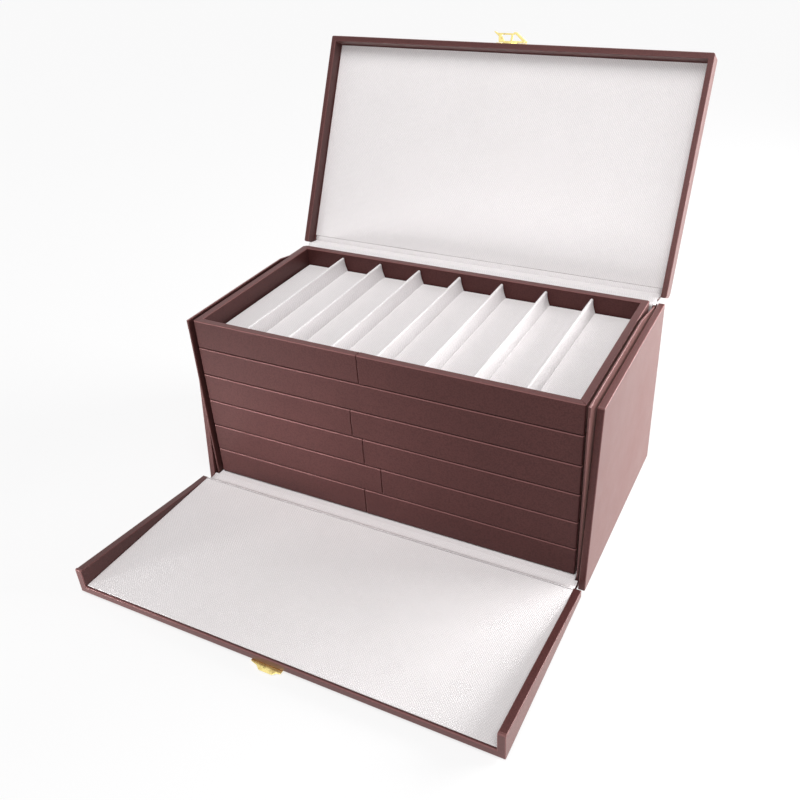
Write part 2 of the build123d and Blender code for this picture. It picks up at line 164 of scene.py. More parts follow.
class CaseSizes(bpy.types.PropertyGroup):
    """Sizes that a user would change, in millimetres"""
    board_round: FloatProperty(
        name="Board rounding", description="Radius of the wrapped edges", default=0.75, min=0.1,
    )
    corner_round: FloatProperty(
        name="Lid corner rounding", description="Radius of the lid's outer corners",
        default=2.3, min=0.1,
    )
    rim_round: FloatProperty(
        name="Tray rim rounding", description="Radius of the top edges of a tray", default=0.8, min=0.1,
    )
    tray_slit: FloatProperty(
        name="Slit between trays", description="Height of the dark line under a frame",
        default=0.8, min=0.0,
    )
    seam_step: FloatProperty(
        name="Seam step", description="How far the overlapping covering stands out",
        default=0.25, min=0.0,
    )
    seam_gap: FloatProperty(
        name="Seam gap", description="Depth of the line beside the overlap", default=1.0, min=0.0,
    )
    board_wave: FloatProperty(
        name="Board unevenness", description="How far a wrapped face wanders", default=0.07, min=0.0,
    )
    pad_crown: FloatProperty(
        name="Pad crown", description="How far a pad swells in its compartment", default=0.55, min=0.0,
    )
    lining_gap: FloatProperty(
        name="Lining gap", description="Open line between the lid's lining and its rims",
        default=0.9, min=0.0,
    )
    panel_gap: FloatProperty(
        name="Panel gap", description="Open line between a side panel and its neck board",
        default=0.6, min=0.0,
    )
    lid_rim_trim: FloatProperty(
        name="Lid rim trim", description="How much thinner the lid's rims are than a full board",
        default=1.2, min=0.0,
    )
    pad_gap: FloatProperty(
        name="Pad gap", description="Open line between a pad and the walls", default=1.1, min=0.0,
    )
    rib_foot: FloatProperty(
        name="Rib foot", description="Width of a covered rib at its foot", default=8.4, min=3.0,
    )
    rib_crest: FloatProperty(
        name="Rib crest", description="Width of a covered rib at its crest", default=2.7, min=1.0,
    )


class CaseColours(bpy.types.PropertyGroup):
    """Colours of the finishes and the table"""
    leatherette: FloatVectorProperty(
        name="Leatherette", description="Covering of the boards", subtype="COLOR", size=3,
        default=(0.071, 0.0238, 0.0228), min=0.0, max=1.0,
    )
    microfibre: FloatVectorProperty(
        name="Microfibre", description="Linings, pads and ribs", subtype="COLOR", size=3,
        default=(0.87, 0.835, 0.84), min=0.0, max=1.0,
    )
    gilt: FloatVectorProperty(
        name="Gilt", description="Hasp and catch", subtype="COLOR", size=3,
        default=(0.98, 0.81, 0.33), min=0.0, max=1.0,
    )
    table: FloatVectorProperty(
        name="Table", description="Floor and backdrop", subtype="COLOR", size=3,
        default=(0.93, 0.925, 0.93), min=0.0, max=1.0,
    )


# Shader groups and materials

def new_group(name, inputs, outputs):
    """A shader group with float inputs and the outputs named, and its two end nodes."""
    group = bpy.data.node_groups.new(name, "ShaderNodeTree")
    for label, value in inputs.items():
        socket = group.interface.new_socket(label, in_out="INPUT", socket_type="NodeSocketFloat")
        socket.default_value = value
    for label in outputs:
        group.interface.new_socket(label, in_out="OUTPUT", socket_type="NodeSocketFloat")
    start = group.nodes.new("NodeGroupInput")
    end = group.nodes.new("NodeGroupOutput")
    return group, start, end


def math_node(tree, operation, *values):
    """A Math node whose inputs are numbers or sockets."""
    node = tree.nodes.new("ShaderNodeMath")
    node.operation = operation
    for socket, value in zip(node.inputs, values):
        if isinstance(value, (int, float)):
            socket.default_value = value
        else:
            tree.links.new(value, socket)
    return node.outputs[0]


def noise_node(tree, where, scale, detail=2.0, roughness=0.5):
    """A Noise Texture's value, at a place and a scale that may be sockets."""
    node = tree.nodes.new("ShaderNodeTexNoise")
    node.inputs["Detail"].default_value = detail
    node.inputs["Roughness"].default_value = roughness
    tree.links.new(where, node.inputs["Vector"])
    if isinstance(scale, (int, float)):
        node.inputs["Scale"].default_value = scale
    else:
        tree.links.new(scale, node.inputs["Scale"])
    return node.outputs["Fac"]


def weighted(tree, first, first_share, second, second_share):
    """The sum of two sockets, each times its share."""
    first = math_node(tree, "MULTIPLY", first, first_share)
    second = math_node(tree, "MULTIPLY", second, second_share)
    return math_node(tree, "ADD", first, second)


def object_place(tree):
    """The place of a point in its own object, as a socket."""
    return tree.nodes.new("ShaderNodeTexCoord").outputs["Object"]


def make_pebble_group():
    """Pressed leather grain: small cells with rounded edges, and finer noise over them."""
    group, start, end = new_group("Pebble grain", {"Scale": 1500.0, "Softness": 0.35}, ["Height", "Pits"])
    where = object_place(group)
    scale = start.outputs["Scale"]
    cells = group.nodes.new("ShaderNodeTexVoronoi")
    cells.feature = "SMOOTH_F1"
    group.links.new(where, cells.inputs["Vector"])
    group.links.new(scale, cells.inputs["Scale"])
    group.links.new(start.outputs["Softness"], cells.inputs["Smoothness"])
    dome = math_node(group, "SUBTRACT", 1.0, cells.outputs["Distance"])
    fine = noise_node(group, where, math_node(group, "MULTIPLY", scale, 1.9), detail=3.0)
    pits = math_node(group, "SMOOTH_MIN", cells.outputs["Distance"], 1.0, 0.2)
    group.links.new(weighted(group, dome, 0.75, fine, 0.25), end.inputs["Height"])
    group.links.new(pits, end.inputs["Pits"])
    return group


def make_nap_group():
    """Short brushed nap: crossed ridges broken up by noise."""
    group, start, end = new_group("Microfibre nap", {"Scale": 700.0, "Break up": 3.0}, ["Height", "Hollow"])
    where = object_place(group)
    scale = start.outputs["Scale"]
    ridges = []
    for turn in (0.7, -0.8):
        turned = group.nodes.new("ShaderNodeMapping")
        turned.inputs["Rotation"].default_value = (turn, 0.5 * turn, turn)
        group.links.new(where, turned.inputs["Vector"])
        wave = group.nodes.new("ShaderNodeTexWave")
        wave.inputs["Distortion"].default_value = 3.2
        wave.inputs["Detail"].default_value = 2.0
        wave.inputs["Detail Scale"].default_value = 1.7
        group.links.new(turned.outputs["Vector"], wave.inputs["Vector"])
        group.links.new(math_node(group, "MULTIPLY", scale, 0.24), wave.inputs["Scale"])
        ridges.append(wave.outputs["Fac"])
    crossed = math_node(group, "MULTIPLY", *ridges)
    fleck_scale = math_node(group, "MULTIPLY", scale, start.outputs["Break up"])
    fleck = noise_node(group, where, fleck_scale, detail=3.0, roughness=0.65)
    height = weighted(group, crossed, 0.55, fleck, 0.45)
    group.links.new(height, end.inputs["Height"])
    group.links.new(math_node(group, "SUBTRACT", 1.0, height), end.inputs["Hollow"])
    return group


def make_mottle_group():
    """Slow patches of a finish, from two sizes of noise."""
    group, start, end = new_group("Slow mottle", {"Scale": 14.0}, ["Value"])
    where = object_place(group)
    scale = start.outputs["Scale"]
    wide = noise_node(group, where, scale)
    near = noise_node(group, where, math_node(group, "MULTIPLY", scale, 5.3), detail=3.0, roughness=0.6)
    group.links.new(weighted(group, wide, 0.6, near, 0.4), end.inputs["Value"])
    return group


def place_group(tree, group, **values):
    """A group's node, with its inputs set by name. An underscore stands for a space."""
    node = tree.nodes.new("ShaderNodeGroup")
    node.node_tree = group
    for label, value in values.items():
        node.inputs[label.replace("_", " ")].default_value = value
    return node


def mixed(tree, factor, low, high):
    """A colour between two, by a factor socket."""
    node = tree.nodes.new("ShaderNodeMix")
    node.data_type = "RGBA"
    tree.links.new(factor, node.inputs["Factor"])
    node.inputs["A"].default_value = (*low, 1.0)
    node.inputs["B"].default_value = (*high, 1.0)
    return node.outputs["Result"]


def overlaid(tree, base, colour, factor):
    """A colour socket mixed with a plain colour, by a factor socket."""
    node = tree.nodes.new("ShaderNodeMix")
    node.data_type = "RGBA"
    tree.links.new(factor, node.inputs["Factor"])
    tree.links.new(base, node.inputs["A"])
    node.inputs["B"].default_value = (*colour, 1.0)
    return node.outputs["Result"]


def ranged(tree, value, low, high, from_low=0.3, from_high=0.7):
    """A value socket mapped to a new range."""
    node = tree.nodes.new("ShaderNodeMapRange")
    tree.links.new(value, node.inputs["Value"])
    node.inputs["From Min"].default_value = from_low
    node.inputs["From Max"].default_value = from_high
    node.inputs["To Min"].default_value = low
    node.inputs["To Max"].default_value = high
    return node.outputs["Result"]


def highlight_and_wear_mask(tree):
    """How pale the covering is painted, from the mesh's own values: a painted highlight where edges and tops
    face the light, with some edge wear.
    """
    node = tree.nodes.new("ShaderNodeAttribute")
    node.attribute_name = "rubbed"
    return node.outputs["Fac"]


def bumped(tree, height, strength, distance):
    """A normal bumped by a height socket, with the distance in metres."""
    node = tree.nodes.new("ShaderNodeBump")
    node.inputs["Strength"].default_value = strength
    node.inputs["Distance"].default_value = distance
    tree.links.new(height, node.inputs["Height"])
    return node.outputs["Normal"]


def scaled(colour, factor):
    """A colour made lighter or darker by a factor."""
    return tuple(min(1.0, channel * factor) for channel in colour)


def new_material(name):
    """A new material, its node tree and its shader."""
    material = bpy.data.materials.new(name)
    material.use_nodes = True
    return material, material.node_tree, material.node_tree.nodes["Principled BSDF"]


def mottled(tree, groups, scale, colour, low, high):
    """The slow mottle's value, and a colour that follows it between two shares of itself."""
    value = place_group(tree, groups["mottle"], Scale=scale).outputs["Value"]
    return value, mixed(tree, ranged(tree, value, 0.0, 1.0), scaled(colour, low), scaled(colour, high))


def make_leatherette(name, groups, colour, depth, roughness, gloss, sheen):
    """Pressed covering, darker in its pits, and paler where the mesh marks a painted highlight on edges and
    tops, with some edge wear.
    """
    material, tree, shader = new_material(name)
    grain = place_group(tree, groups["pebble"], Scale=820.0, Softness=0.3)
    slow, tone = mottled(tree, groups, 11.0, colour, 0.92, 1.1)
    pits = ranged(tree, grain.outputs["Pits"], 0.0, 0.5, from_low=0.35, from_high=0.75)
    tone = overlaid(tree, tone, scaled(colour, 0.5), pits)
    # Pale colour of the painted highlight on marked edges and tops, with some edge wear
    worn_and_highlight = [channel * 2.3 + 0.03 for channel in colour]
    tone = overlaid(tree, tone, worn_and_highlight, highlight_and_wear_mask(tree))
    tree.links.new(tone, shader.inputs["Base Color"])
    tree.links.new(ranged(tree, slow, roughness - 0.04, roughness + 0.05), shader.inputs["Roughness"])
    tree.links.new(bumped(tree, grain.outputs["Height"], depth, 0.00012), shader.inputs["Normal"])
    shader.inputs["Specular IOR Level"].default_value = gloss
    shader.inputs["Specular Tint"].default_value = (1.0, 0.62, 0.6, 1.0)
    shader.inputs["Sheen Weight"].default_value = sheen
    shader.inputs["Sheen Roughness"].default_value = 0.3
    shader.inputs["Sheen Tint"].default_value = (1.0, 0.56, 0.5, 1.0)


def make_microfibre(name, groups, colour, depth, scale):
    """Brushed pale cloth, darker in the hollows of its nap."""
    material, tree, shader = new_material(name)
    nap = place_group(tree, groups["nap"], Scale=scale, Break_up=3.4)
    slow, tone = mottled(tree, groups, 16.0, colour, 0.975, 1.02)
    hollow = ranged(tree, nap.outputs["Hollow"], 0.0, 0.5, from_low=0.62, from_high=0.8)
    tone = overlaid(tree, tone, scaled(colour, 0.7), hollow)
    tree.links.new(tone, shader.inputs["Base Color"])
    tree.links.new(bumped(tree, nap.outputs["Height"], depth, 0.0004), shader.inputs["Normal"])
    shader.inputs["Roughness"].default_value = 0.95
    shader.inputs["Specular IOR Level"].default_value = 0.2


def make_gilt(name, groups, colour):
    """Plated metal with small tarnished patches and fine scratches."""
    material, tree, shader = new_material(name)
    slow, tone = mottled(tree, groups, 160.0, colour, 0.9, 1.05)
    patches = noise_node(tree, object_place(tree), 210.0)
    tarnish = ranged(tree, patches, 0.0, 0.4, from_low=0.58, from_high=0.7)
    tone = overlaid(tree, tone, (0.3, 0.11, 0.035), tarnish)
    tree.links.new(tone, shader.inputs["Base Color"])
    tree.links.new(ranged(tree, slow, 0.16, 0.3), shader.inputs["Roughness"])
    scratch = noise_node(tree, object_place(tree), 2400.0, detail=3.0, roughness=0.6)
    tree.links.new(bumped(tree, scratch, 0.08, 0.00005), shader.inputs["Normal"])
    shader.inputs["Metallic"].default_value = 1.0


def make_materials():
    """The finishes, by the name of what they cover. Made once."""
    if "Brown leatherette" in bpy.data.materials:
        return
    colours = bpy.context.scene.case_colours
    groups = {"pebble": make_pebble_group(), "nap": make_nap_group(), "mottle": make_mottle_group()}
    brown = tuple(colours.leatherette)
    make_leatherette(
        "Brown leatherette", groups, brown, depth=0.48, roughness=0.36, gloss=0.5, sheen=0.42,
    )
    make_leatherette(
        "Tray leatherette", groups, scaled(brown, 0.97), depth=0.62, roughness=0.42, gloss=0.35, sheen=0.22,
    )
    pale = tuple(colours.microfibre)
    make_microfibre("Pale lining", groups, pale, depth=0.9, scale=960.0)
    make_microfibre("Pad cloth", groups, scaled(pale, 0.985), depth=1.25, scale=980.0)
    make_gilt("Gilt metal", groups, tuple(colours.gilt))


# Mesh helpers. Points are in millimetres until the mesh is made.

def smoothed(mesh):
    """Shades every face of a mesh smooth."""
    mesh.polygons.foreach_set("use_smooth", [True] * len(mesh.polygons))
    mesh.update()


def to_object(name, bm, place=stay):
    """A new object from a bmesh in millimetres, moved to its place and turned to metres."""
    bm.transform(Matrix.Scale(MM, 4) @ place)
    bmesh.ops.recalc_face_normals(bm, faces=bm.faces)
    mesh = bpy.data.meshes.new(name)
    bm.to_mesh(mesh)
    bm.free()
    smoothed(mesh)
    piece = bpy.data.objects.new(name, mesh)
    bpy.context.scene.collection.objects.link(piece)
    return piece


def settled(piece):
    """Works a piece's modifiers into its mesh."""
    graph = bpy.context.evaluated_depsgraph_get()
    mesh = bpy.data.meshes.new_from_object(piece.evaluated_get(graph), depsgraph=graph)
    old = piece.data
    piece.modifiers.clear()
    piece.data = mesh
    mesh.name = piece.name
    bpy.data.meshes.remove(old)
    return piece


def flats_kept(piece):
    """Normals weighted by area, so that flats stay flat beside their rounded edges."""
    keep = piece.modifiers.new("flats", "WEIGHTED_NORMAL")
    keep.mode = "FACE_AREA"
    keep.weight = 80
    return settled(piece)


def finished(piece, finish, body, nodes=()):
    """Gives a piece its finish, its body and the solids that it stands for."""
    piece.data.materials.clear()
    piece.data.materials.append(bpy.data.materials[finish])
    if nodes:
        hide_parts(*nodes)
    if body:
        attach(piece, body)
    return piece


def wander(point, amount, seed):
    """A slow, small shift of a wrapped face."""
    place = Vector((point.x / wander_length, point.y / wander_length, point.z / wander_length + seed))
    return noise.noise_vector(place) * amount


def lattice(stops, step):
    """Grid lines through the stops, and the zone that each gap between lines lies in."""
    lines = [stops[0]]
    zones = []
    for zone, (start, end) in enumerate(zip(stops, stops[1:])):
        count = max(1, math.ceil((end - start) / step))
        for index in range(1, count + 1):
            lines.append(start + (end - start) * index / count)
            zones.append(zone)
    return lines, zones


def mark_highlight_and_wear(piece, values):
    """Stores each face's share of painted highlight and edge wear, on its corners, so that it ends at the
    face's edge.
    """
    layer = piece.data.color_attributes.new("rubbed", "FLOAT_COLOR", "CORNER")
    for polygon, value in zip(piece.data.polygons, values):
        for loop in polygon.loop_indices:
            layer.data[loop].color = (value, value, value, 1.0)
    return piece


def paint_highlight_and_wear(piece, toward):
    """Paints the rounded edges pale, most where they face a direction, and the flat faces that face it less:
    a painted highlight where the light falls, with some wear on every edge.

    Rounded edges are the faces with the second material."""
    values = []
    for face in piece.data.polygons:
        facing = face.normal.dot(toward)
        if face.material_index:
            values.append(edge_highlight_and_wear if facing > 0.15 else faint_highlight_and_wear)
        else:
            values.append(face_highlight if facing > 0.85 else 0.0)
    mark_highlight_and_wear(piece, values)


# The sides of a block: their direction, and the corners of each
block_sides = {
    (-1, 0, 0): ((0, 0, 0), (0, 0, 1), (0, 1, 1), (0, 1, 0)),
    (1, 0, 0): ((1, 0, 0), (1, 1, 0), (1, 1, 1), (1, 0, 1)),
    (0, -1, 0): ((0, 0, 0), (1, 0, 0), (1, 0, 1), (0, 0, 1)),
    (0, 1, 0): ((0, 1, 0), (0, 1, 1), (1, 1, 1), (1, 1, 0)),
    (0, 0, -1): ((0, 0, 0), (0, 1, 0), (1, 1, 0), (1, 0, 0)),
    (0, 0, 1): ((0, 0, 1), (1, 0, 1), (1, 1, 1), (0, 1, 1)),
}


def stacked(stops, solid, step, moved):
    """The outer skin of the zones that are solid, with its points moved."""
    (xs, zones_x), (ys, zones_y), (zs, zones_z) = [lattice(stop, step) for stop in stops]
    counts = (len(zones_x), len(zones_y), len(zones_z))
    bm = bmesh.new()
    made = {}

    def filled(i, j, k):
        inside = 0 <= i < counts[0] and 0 <= j < counts[1] and 0 <= k < counts[2]
        return inside and solid(zones_x[i], zones_y[j], zones_z[k])

    def corner(i, j, k):
        if (i, j, k) not in made:
            made[i, j, k] = bm.verts.new(moved(Vector((xs[i], ys[j], zs[k]))))
        return made[i, j, k]

    for i, j, k in product(*[range(count) for count in counts]):
        if filled(i, j, k):
            for (a, b, c), quad in block_sides.items():
                if not filled(i + a, j + b, k + c):
                    bm.faces.new([corner(i + p, j + q, k + r) for p, q, r in quad])
    bmesh.ops.recalc_face_normals(bm, faces=bm.faces)
    return bm


def block(
    name, stops, solid, radius, place=stay, warp=None, weight=None, step=18.0, wave=0.0, seed=0.0, highlight_toward=None,
):
    """A board or a shell of joined blocks, with every sharp edge rounded.

    A weight narrows an edge's radius, and the direction given last picks the faces and edges that get a
    painted highlight, with some edge wear."""

    def moved(point):
        point = warp(point) if warp else point
        return point + wander(point, wave, seed)

    bm = stacked(stops, solid, step, moved)
    layer = bm.edges.layers.float.new("bevel_weight_edge")
    for edge in bm.edges:
        if len(edge.link_faces) == 2 and edge.calc_face_angle() > sharp_turn:
            middle = (edge.verts[0].co + edge.verts[1].co) / 2
            edge[layer] = weight(middle) if weight else 1.0
    piece = to_object(name, bm, place)
    rounding = piece.modifiers.new("rounding", "BEVEL")
    rounding.limit_method = "WEIGHT"
    rounding.width = radius * MM
    rounding.segments = 4
    rounding.use_clamp_overlap = False
    rounding.material = 1
    piece.data.materials.append(None)
    piece.data.materials.append(None)
    flats_kept(piece)
    # Painted highlight on the faces and edges that face the given direction, with some edge wear
    if highlight_toward:
        paint_highlight_and_wear(piece, place.to_3x3() @ Vector(highlight_toward))
    for face in piece.data.polygons:
        face.material_index = 0
    return piece


def whole(*zones):
    """Says that every zone is solid."""
    return True


def box_stops(low, high):
    """The stops of a plain block between two corners."""
    return [[low[axis], high[axis]] for axis in range(3)]


def fold(low, high, place=stay):
    """A small roll where the covering is turned in and glued over a board's end, with a painted highlight on
    its top and edges.
    """
    return block(
        "fold", box_stops(low, high), whole, fold_round, place=place, step=1.2, wave=0.12, highlight_toward=(0, 0, 1),
    )


def sweep(name, rings, closed, place=stay, capped=False):
    """A skin over rings of points. Rings have equal counts and close on themselves."""
    bm = bmesh.new()
    rows = [[bm.verts.new(point) for point in ring] for ring in rings]
    size = len(rows[0])
    pairs = list(zip(rows, rows[1:]))
    if closed:
        pairs.append((rows[-1], rows[0]))
    for first, second in pairs:
        for index in range(size):
            after = (index + 1) % size
            bm.faces.new([first[index], first[after], second[after], second[index]])
    if capped:
        bm.faces.new(rows[0][::-1])
        bm.faces.new(rows[-1])
    return to_object(name, bm, place)


def rounded_section(width, height, radii, steps, rows):
    """A rectangle's outline, with extra rows up its outer face.

    Its points are (across, up, normal across, normal up)."""
    turns = [
        ((width, 0.0), radii[0], -90.0),
        ((width, height), radii[1], 0.0),
        ((0.0, height), radii[2], 90.0),
        ((0.0, 0.0), radii[3], 180.0),
    ]
    points = []
    for (x, z), radius, start in turns:
        centre_x = x - radius if x > 0 else radius
        centre_z = z - radius if z > 0 else radius
        for index in range(steps + 1):
            angle = math.radians(start + 90.0 * index / steps)
            across, up = math.cos(angle), math.sin(angle)
            points.append((centre_x + radius * across, centre_z + radius * up, across, up))
        if start == -90.0:
            clear = 0.5
            low, high = radii[0] + clear, height - radii[1] - clear
            points += [(width, low + (high - low) * row / (rows - 1), 1.0, 0.0) for row in range(rows)]
    return points


def smooth_line(points, samples=6):
    """A smooth curve through (y, z) points."""
    line = []
    ends = [points[0]] + list(points) + [points[-1]]
    for index in range(1, len(ends) - 2):
        a, b, c, d = [Vector(point) for point in ends[index - 1:index + 3]]
        for step in range(samples):
            t = step / samples
            line.append(0.5 * (2 * b + (c - a) * t + (2 * a - 5 * b + 4 * c - d) * t * t
                               + (3 * b - a - 3 * c + d) * t ** 3))
    line.append(Vector(points[-1]))
    return line


def cloth_strip(name, points, half_width, thickness, finish, nodes, slack=0.12, seed=0.0):
    """A strip of cloth along X whose section follows (y, z) points.

    Slack is how far it wanders from the points between its ends."""
    line = smooth_line(points)
    columns = 60
    ripple_length = 16.0
    rings = []
    for column in range(columns + 1):
        x = -half_width + 2 * half_width * column / columns
        upper, lower = [], []
        for index, point in enumerate(line):
            ahead = line[min(index + 1, len(line) - 1)] - line[max(index - 1, 0)]
            across = Vector((-ahead.y, ahead.x)).normalized()
            share = index / (len(line) - 1)
            ripple = noise.noise(Vector((x / ripple_length, share * 2.0, seed)))
            loose = ripple * slack * math.sin(math.pi * share)
            top = point + across * loose
            upper.append((x, top.x, top.y))
            low = top - across * thickness
            lower.append((x, low.x, low.y))
        rings.append(upper + lower[::-1])
    piece = sweep(name, rings, closed=False, capped=True)
    finished(piece, finish, None, nodes)
    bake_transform(piece)
    return piece


def turned(name, profile, centre, place=stay, steps=28, axis="X"):
    """A round piece from (along, radius) points about an axis through a point."""
    rings = []
    for along, radius in profile:
        ring = []
        for index in range(steps):
            angle = 2 * math.pi * index / steps
            c, s = radius * math.cos(angle), radius * math.sin(angle)
            offset = Vector((along, c, s)) if axis == "X" else Vector((s, along, c))
            ring.append(Vector(centre) + offset)
        rings.append(ring)
    return sweep(name, rings, closed=False, place=place, capped=True)


def eased(points, radius, steps=3):
    """An outline with its corners rounded."""
    line = []
    count = len(points)
    for index in range(count):
        before, here, after = [Vector(points[(index + k) % count]) for k in (-1, 0, 1)]
        back, ahead = before - here, after - here
        reach = min(radius, back.length * 0.45, ahead.length * 0.45)
        a, b = here + back.normalized() * reach, here + ahead.normalized() * reach
        for step in range(steps + 1):
            t = step / steps
            line.append(a * (1 - t) ** 2 + here * 2 * t * (1 - t) + b * t * t)
    return line


def stamped(name, outlines, matrix):
    """A stamped plate with eased edges: an outline and its holes, in X and Y about its middle plane."""
    curve = bpy.data.curves.new(name, "CURVE")
    curve.dimensions = "2D"
    curve.fill_mode = "BOTH"
    curve.extrude = (metal_thickness / 2 - metal_edge) * MM
    curve.bevel_depth = metal_edge * MM
    curve.bevel_resolution = 2
    curve.offset = -metal_edge * MM
    for outline in outlines:
        spline = curve.splines.new("POLY")
        spline.points.add(len(outline) - 1)
        for point, (x, y) in zip(spline.points, outline):
            point.co = (x * MM, y * MM, 0.0, 1.0)
        spline.use_cyclic_u = True
    shape = bpy.data.objects.new(name + "_outline", curve)
    bpy.context.scene.collection.objects.link(shape)
    bpy.context.view_layer.update()
    graph = bpy.context.evaluated_depsgraph_get()
    mesh = bpy.data.meshes.new_from_object(shape.evaluated_get(graph), depsgraph=graph)
    bpy.data.objects.remove(shape)
    bm = bmesh.new()
    bm.from_mesh(mesh)
    bpy.data.meshes.remove(mesh)
    weld = 0.000002
    bmesh.ops.remove_doubles(bm, verts=bm.verts, dist=weld)
    bm.transform(Matrix.Scale(1 / MM, 4))
    return to_object(name, bm, matrix)


def joined(name, pieces):
    """Several meshes as one piece."""
    for piece in pieces[1:]:
        bm = bmesh.new()
        bm.from_mesh(pieces[0].data)
        bm.from_mesh(piece.data)
        bm.to_mesh(pieces[0].data)
        bm.free()
        bpy.data.objects.remove(piece)
    smoothed(pieces[0].data)
    pieces[0].name = name
    return pieces[0]


# Pieces

class CASE_OT_panels(bpy.types.Operator):
    """Outer panels, neck boards, floor board and back board"""
    bl_idname = "case.panels"
    bl_label = "Panels"

    def execute(self, context):
        sizes = context.scene.case_sizes
        rake = flange_high.z - flange_low.z

        def raked(point):
            share = (point.y - panel_front) / (back_face - panel_front)
            lean = rake * point.z / panel_top
            return Vector((point.x, point.y + lean * (1 - share), point.z))

        for side, label in ((1, "right"), (-1, "left")):
            ends = sorted((side * (panel_inner + sizes.panel_gap), side * panel_outer))
            stops = [ends, [panel_front, back_face], [0.0, panel_top]]
            # The panel's top and upward edges carry a painted highlight
            panel = block(
                f"{label}_panel_board", stops, whole, sizes.board_round, warp=raked,
                wave=sizes.board_wave, seed=3.0 * side, highlight_toward=(0, 0, 1),
            )
            front = panel_front + rake
            roll = fold(
                (ends[0] + 0.1, front + 0.2, panel_top - 0.8),
                (ends[1] - 0.1, front + 1.9, panel_top + fold_rise),
            )
            panel = joined(f"{label}_panel_wrap", [panel, roll])
            finished(panel, "Brown leatherette", "case", [f"side_panel_{label}"])
            self.neck(sizes, side, label)
        floor = block("floor_wrap", box_stops(floor_low, floor_high), whole, thin_round, wave=0.05)
        finished(floor, "Brown leatherette", "case", ["floor_board"])
        back = block("back_wrap", box_stops(back_low, back_high), whole, thin_round, wave=0.08, seed=9.0)
        finished(back, "Brown leatherette", "case", ["back_board"])
        return {"FINISHED"}

    def neck(self, sizes, side, label):
        """Thin board that stands above the panel, sloped down at the back."""
        outer = side * (neck_high.x - neck_trim_outer)
        ends = sorted((side * (neck_low.x + neck_trim_inner), outer))
        slope = neck_high.y - neck_slope_start

        def sloped(point):
            share = (point.z - neck_low.z) / (neck_high.z - neck_low.z)
            past = max(0.0, (point.y - slope) / neck_slope_start)
            return Vector((point.x, point.y, point.z - neck_slope_drop * past * share))

        stops = [ends, [neck_low.y, slope, neck_high.y], [neck_low.z, neck_high.z]]
        # The board's top and upward edges carry a painted highlight
        board = block(
            f"{label}_neck_board", stops, whole, thin_round, warp=sloped,
            wave=sizes.board_wave, seed=5.0 * side, highlight_toward=(0, 0, 1),
        )
        low_x, high_x = sorted((outer - side * 0.5, outer + side * 0.3))
        front, top = neck_low.y + 0.3, neck_high.z - 0.4
        along = fold((low_x, front, neck_high.z - 1.7), (high_x, neck_low.y + 7.5, top))
        down = fold((low_x, front, neck_high.z - 9.0), (high_x, neck_low.y + 1.5, top))
        board = joined(f"{label}_neck_wrap", [board, along, down])
        finished(board, "Brown leatherette", "case", [f"neck_board_{label}"])


class CASE_OT_linings(bpy.types.Operator):
    """Microfibre on the floor and the back of the case"""
    bl_idname = "case.linings"
    bl_label = "Case linings"

    def execute(self, context):
        low, high = corners("floor_lining")
        floor = block("floor_cloth", box_stops(low, high), whole, lining_round, wave=0.05, step=14.0)
        finished(floor, "Pale lining", "case", ["floor_lining"])
        low, high = corners("back_lining")
        stops = [
            [low.x, high.x],
            [low.y, back_low.y, high.y],
            [low.z, panel_top - lining_thickness, panel_top],
        ]

        def turned_over(i, j, k):
            return j == 0 or k == 1

        back = block("back_cloth", stops, turned_over, lining_round, wave=0.05, step=14.0)
        finished(back, "Pale lining", "case", ["back_lining"])
        return {"FINISHED"}


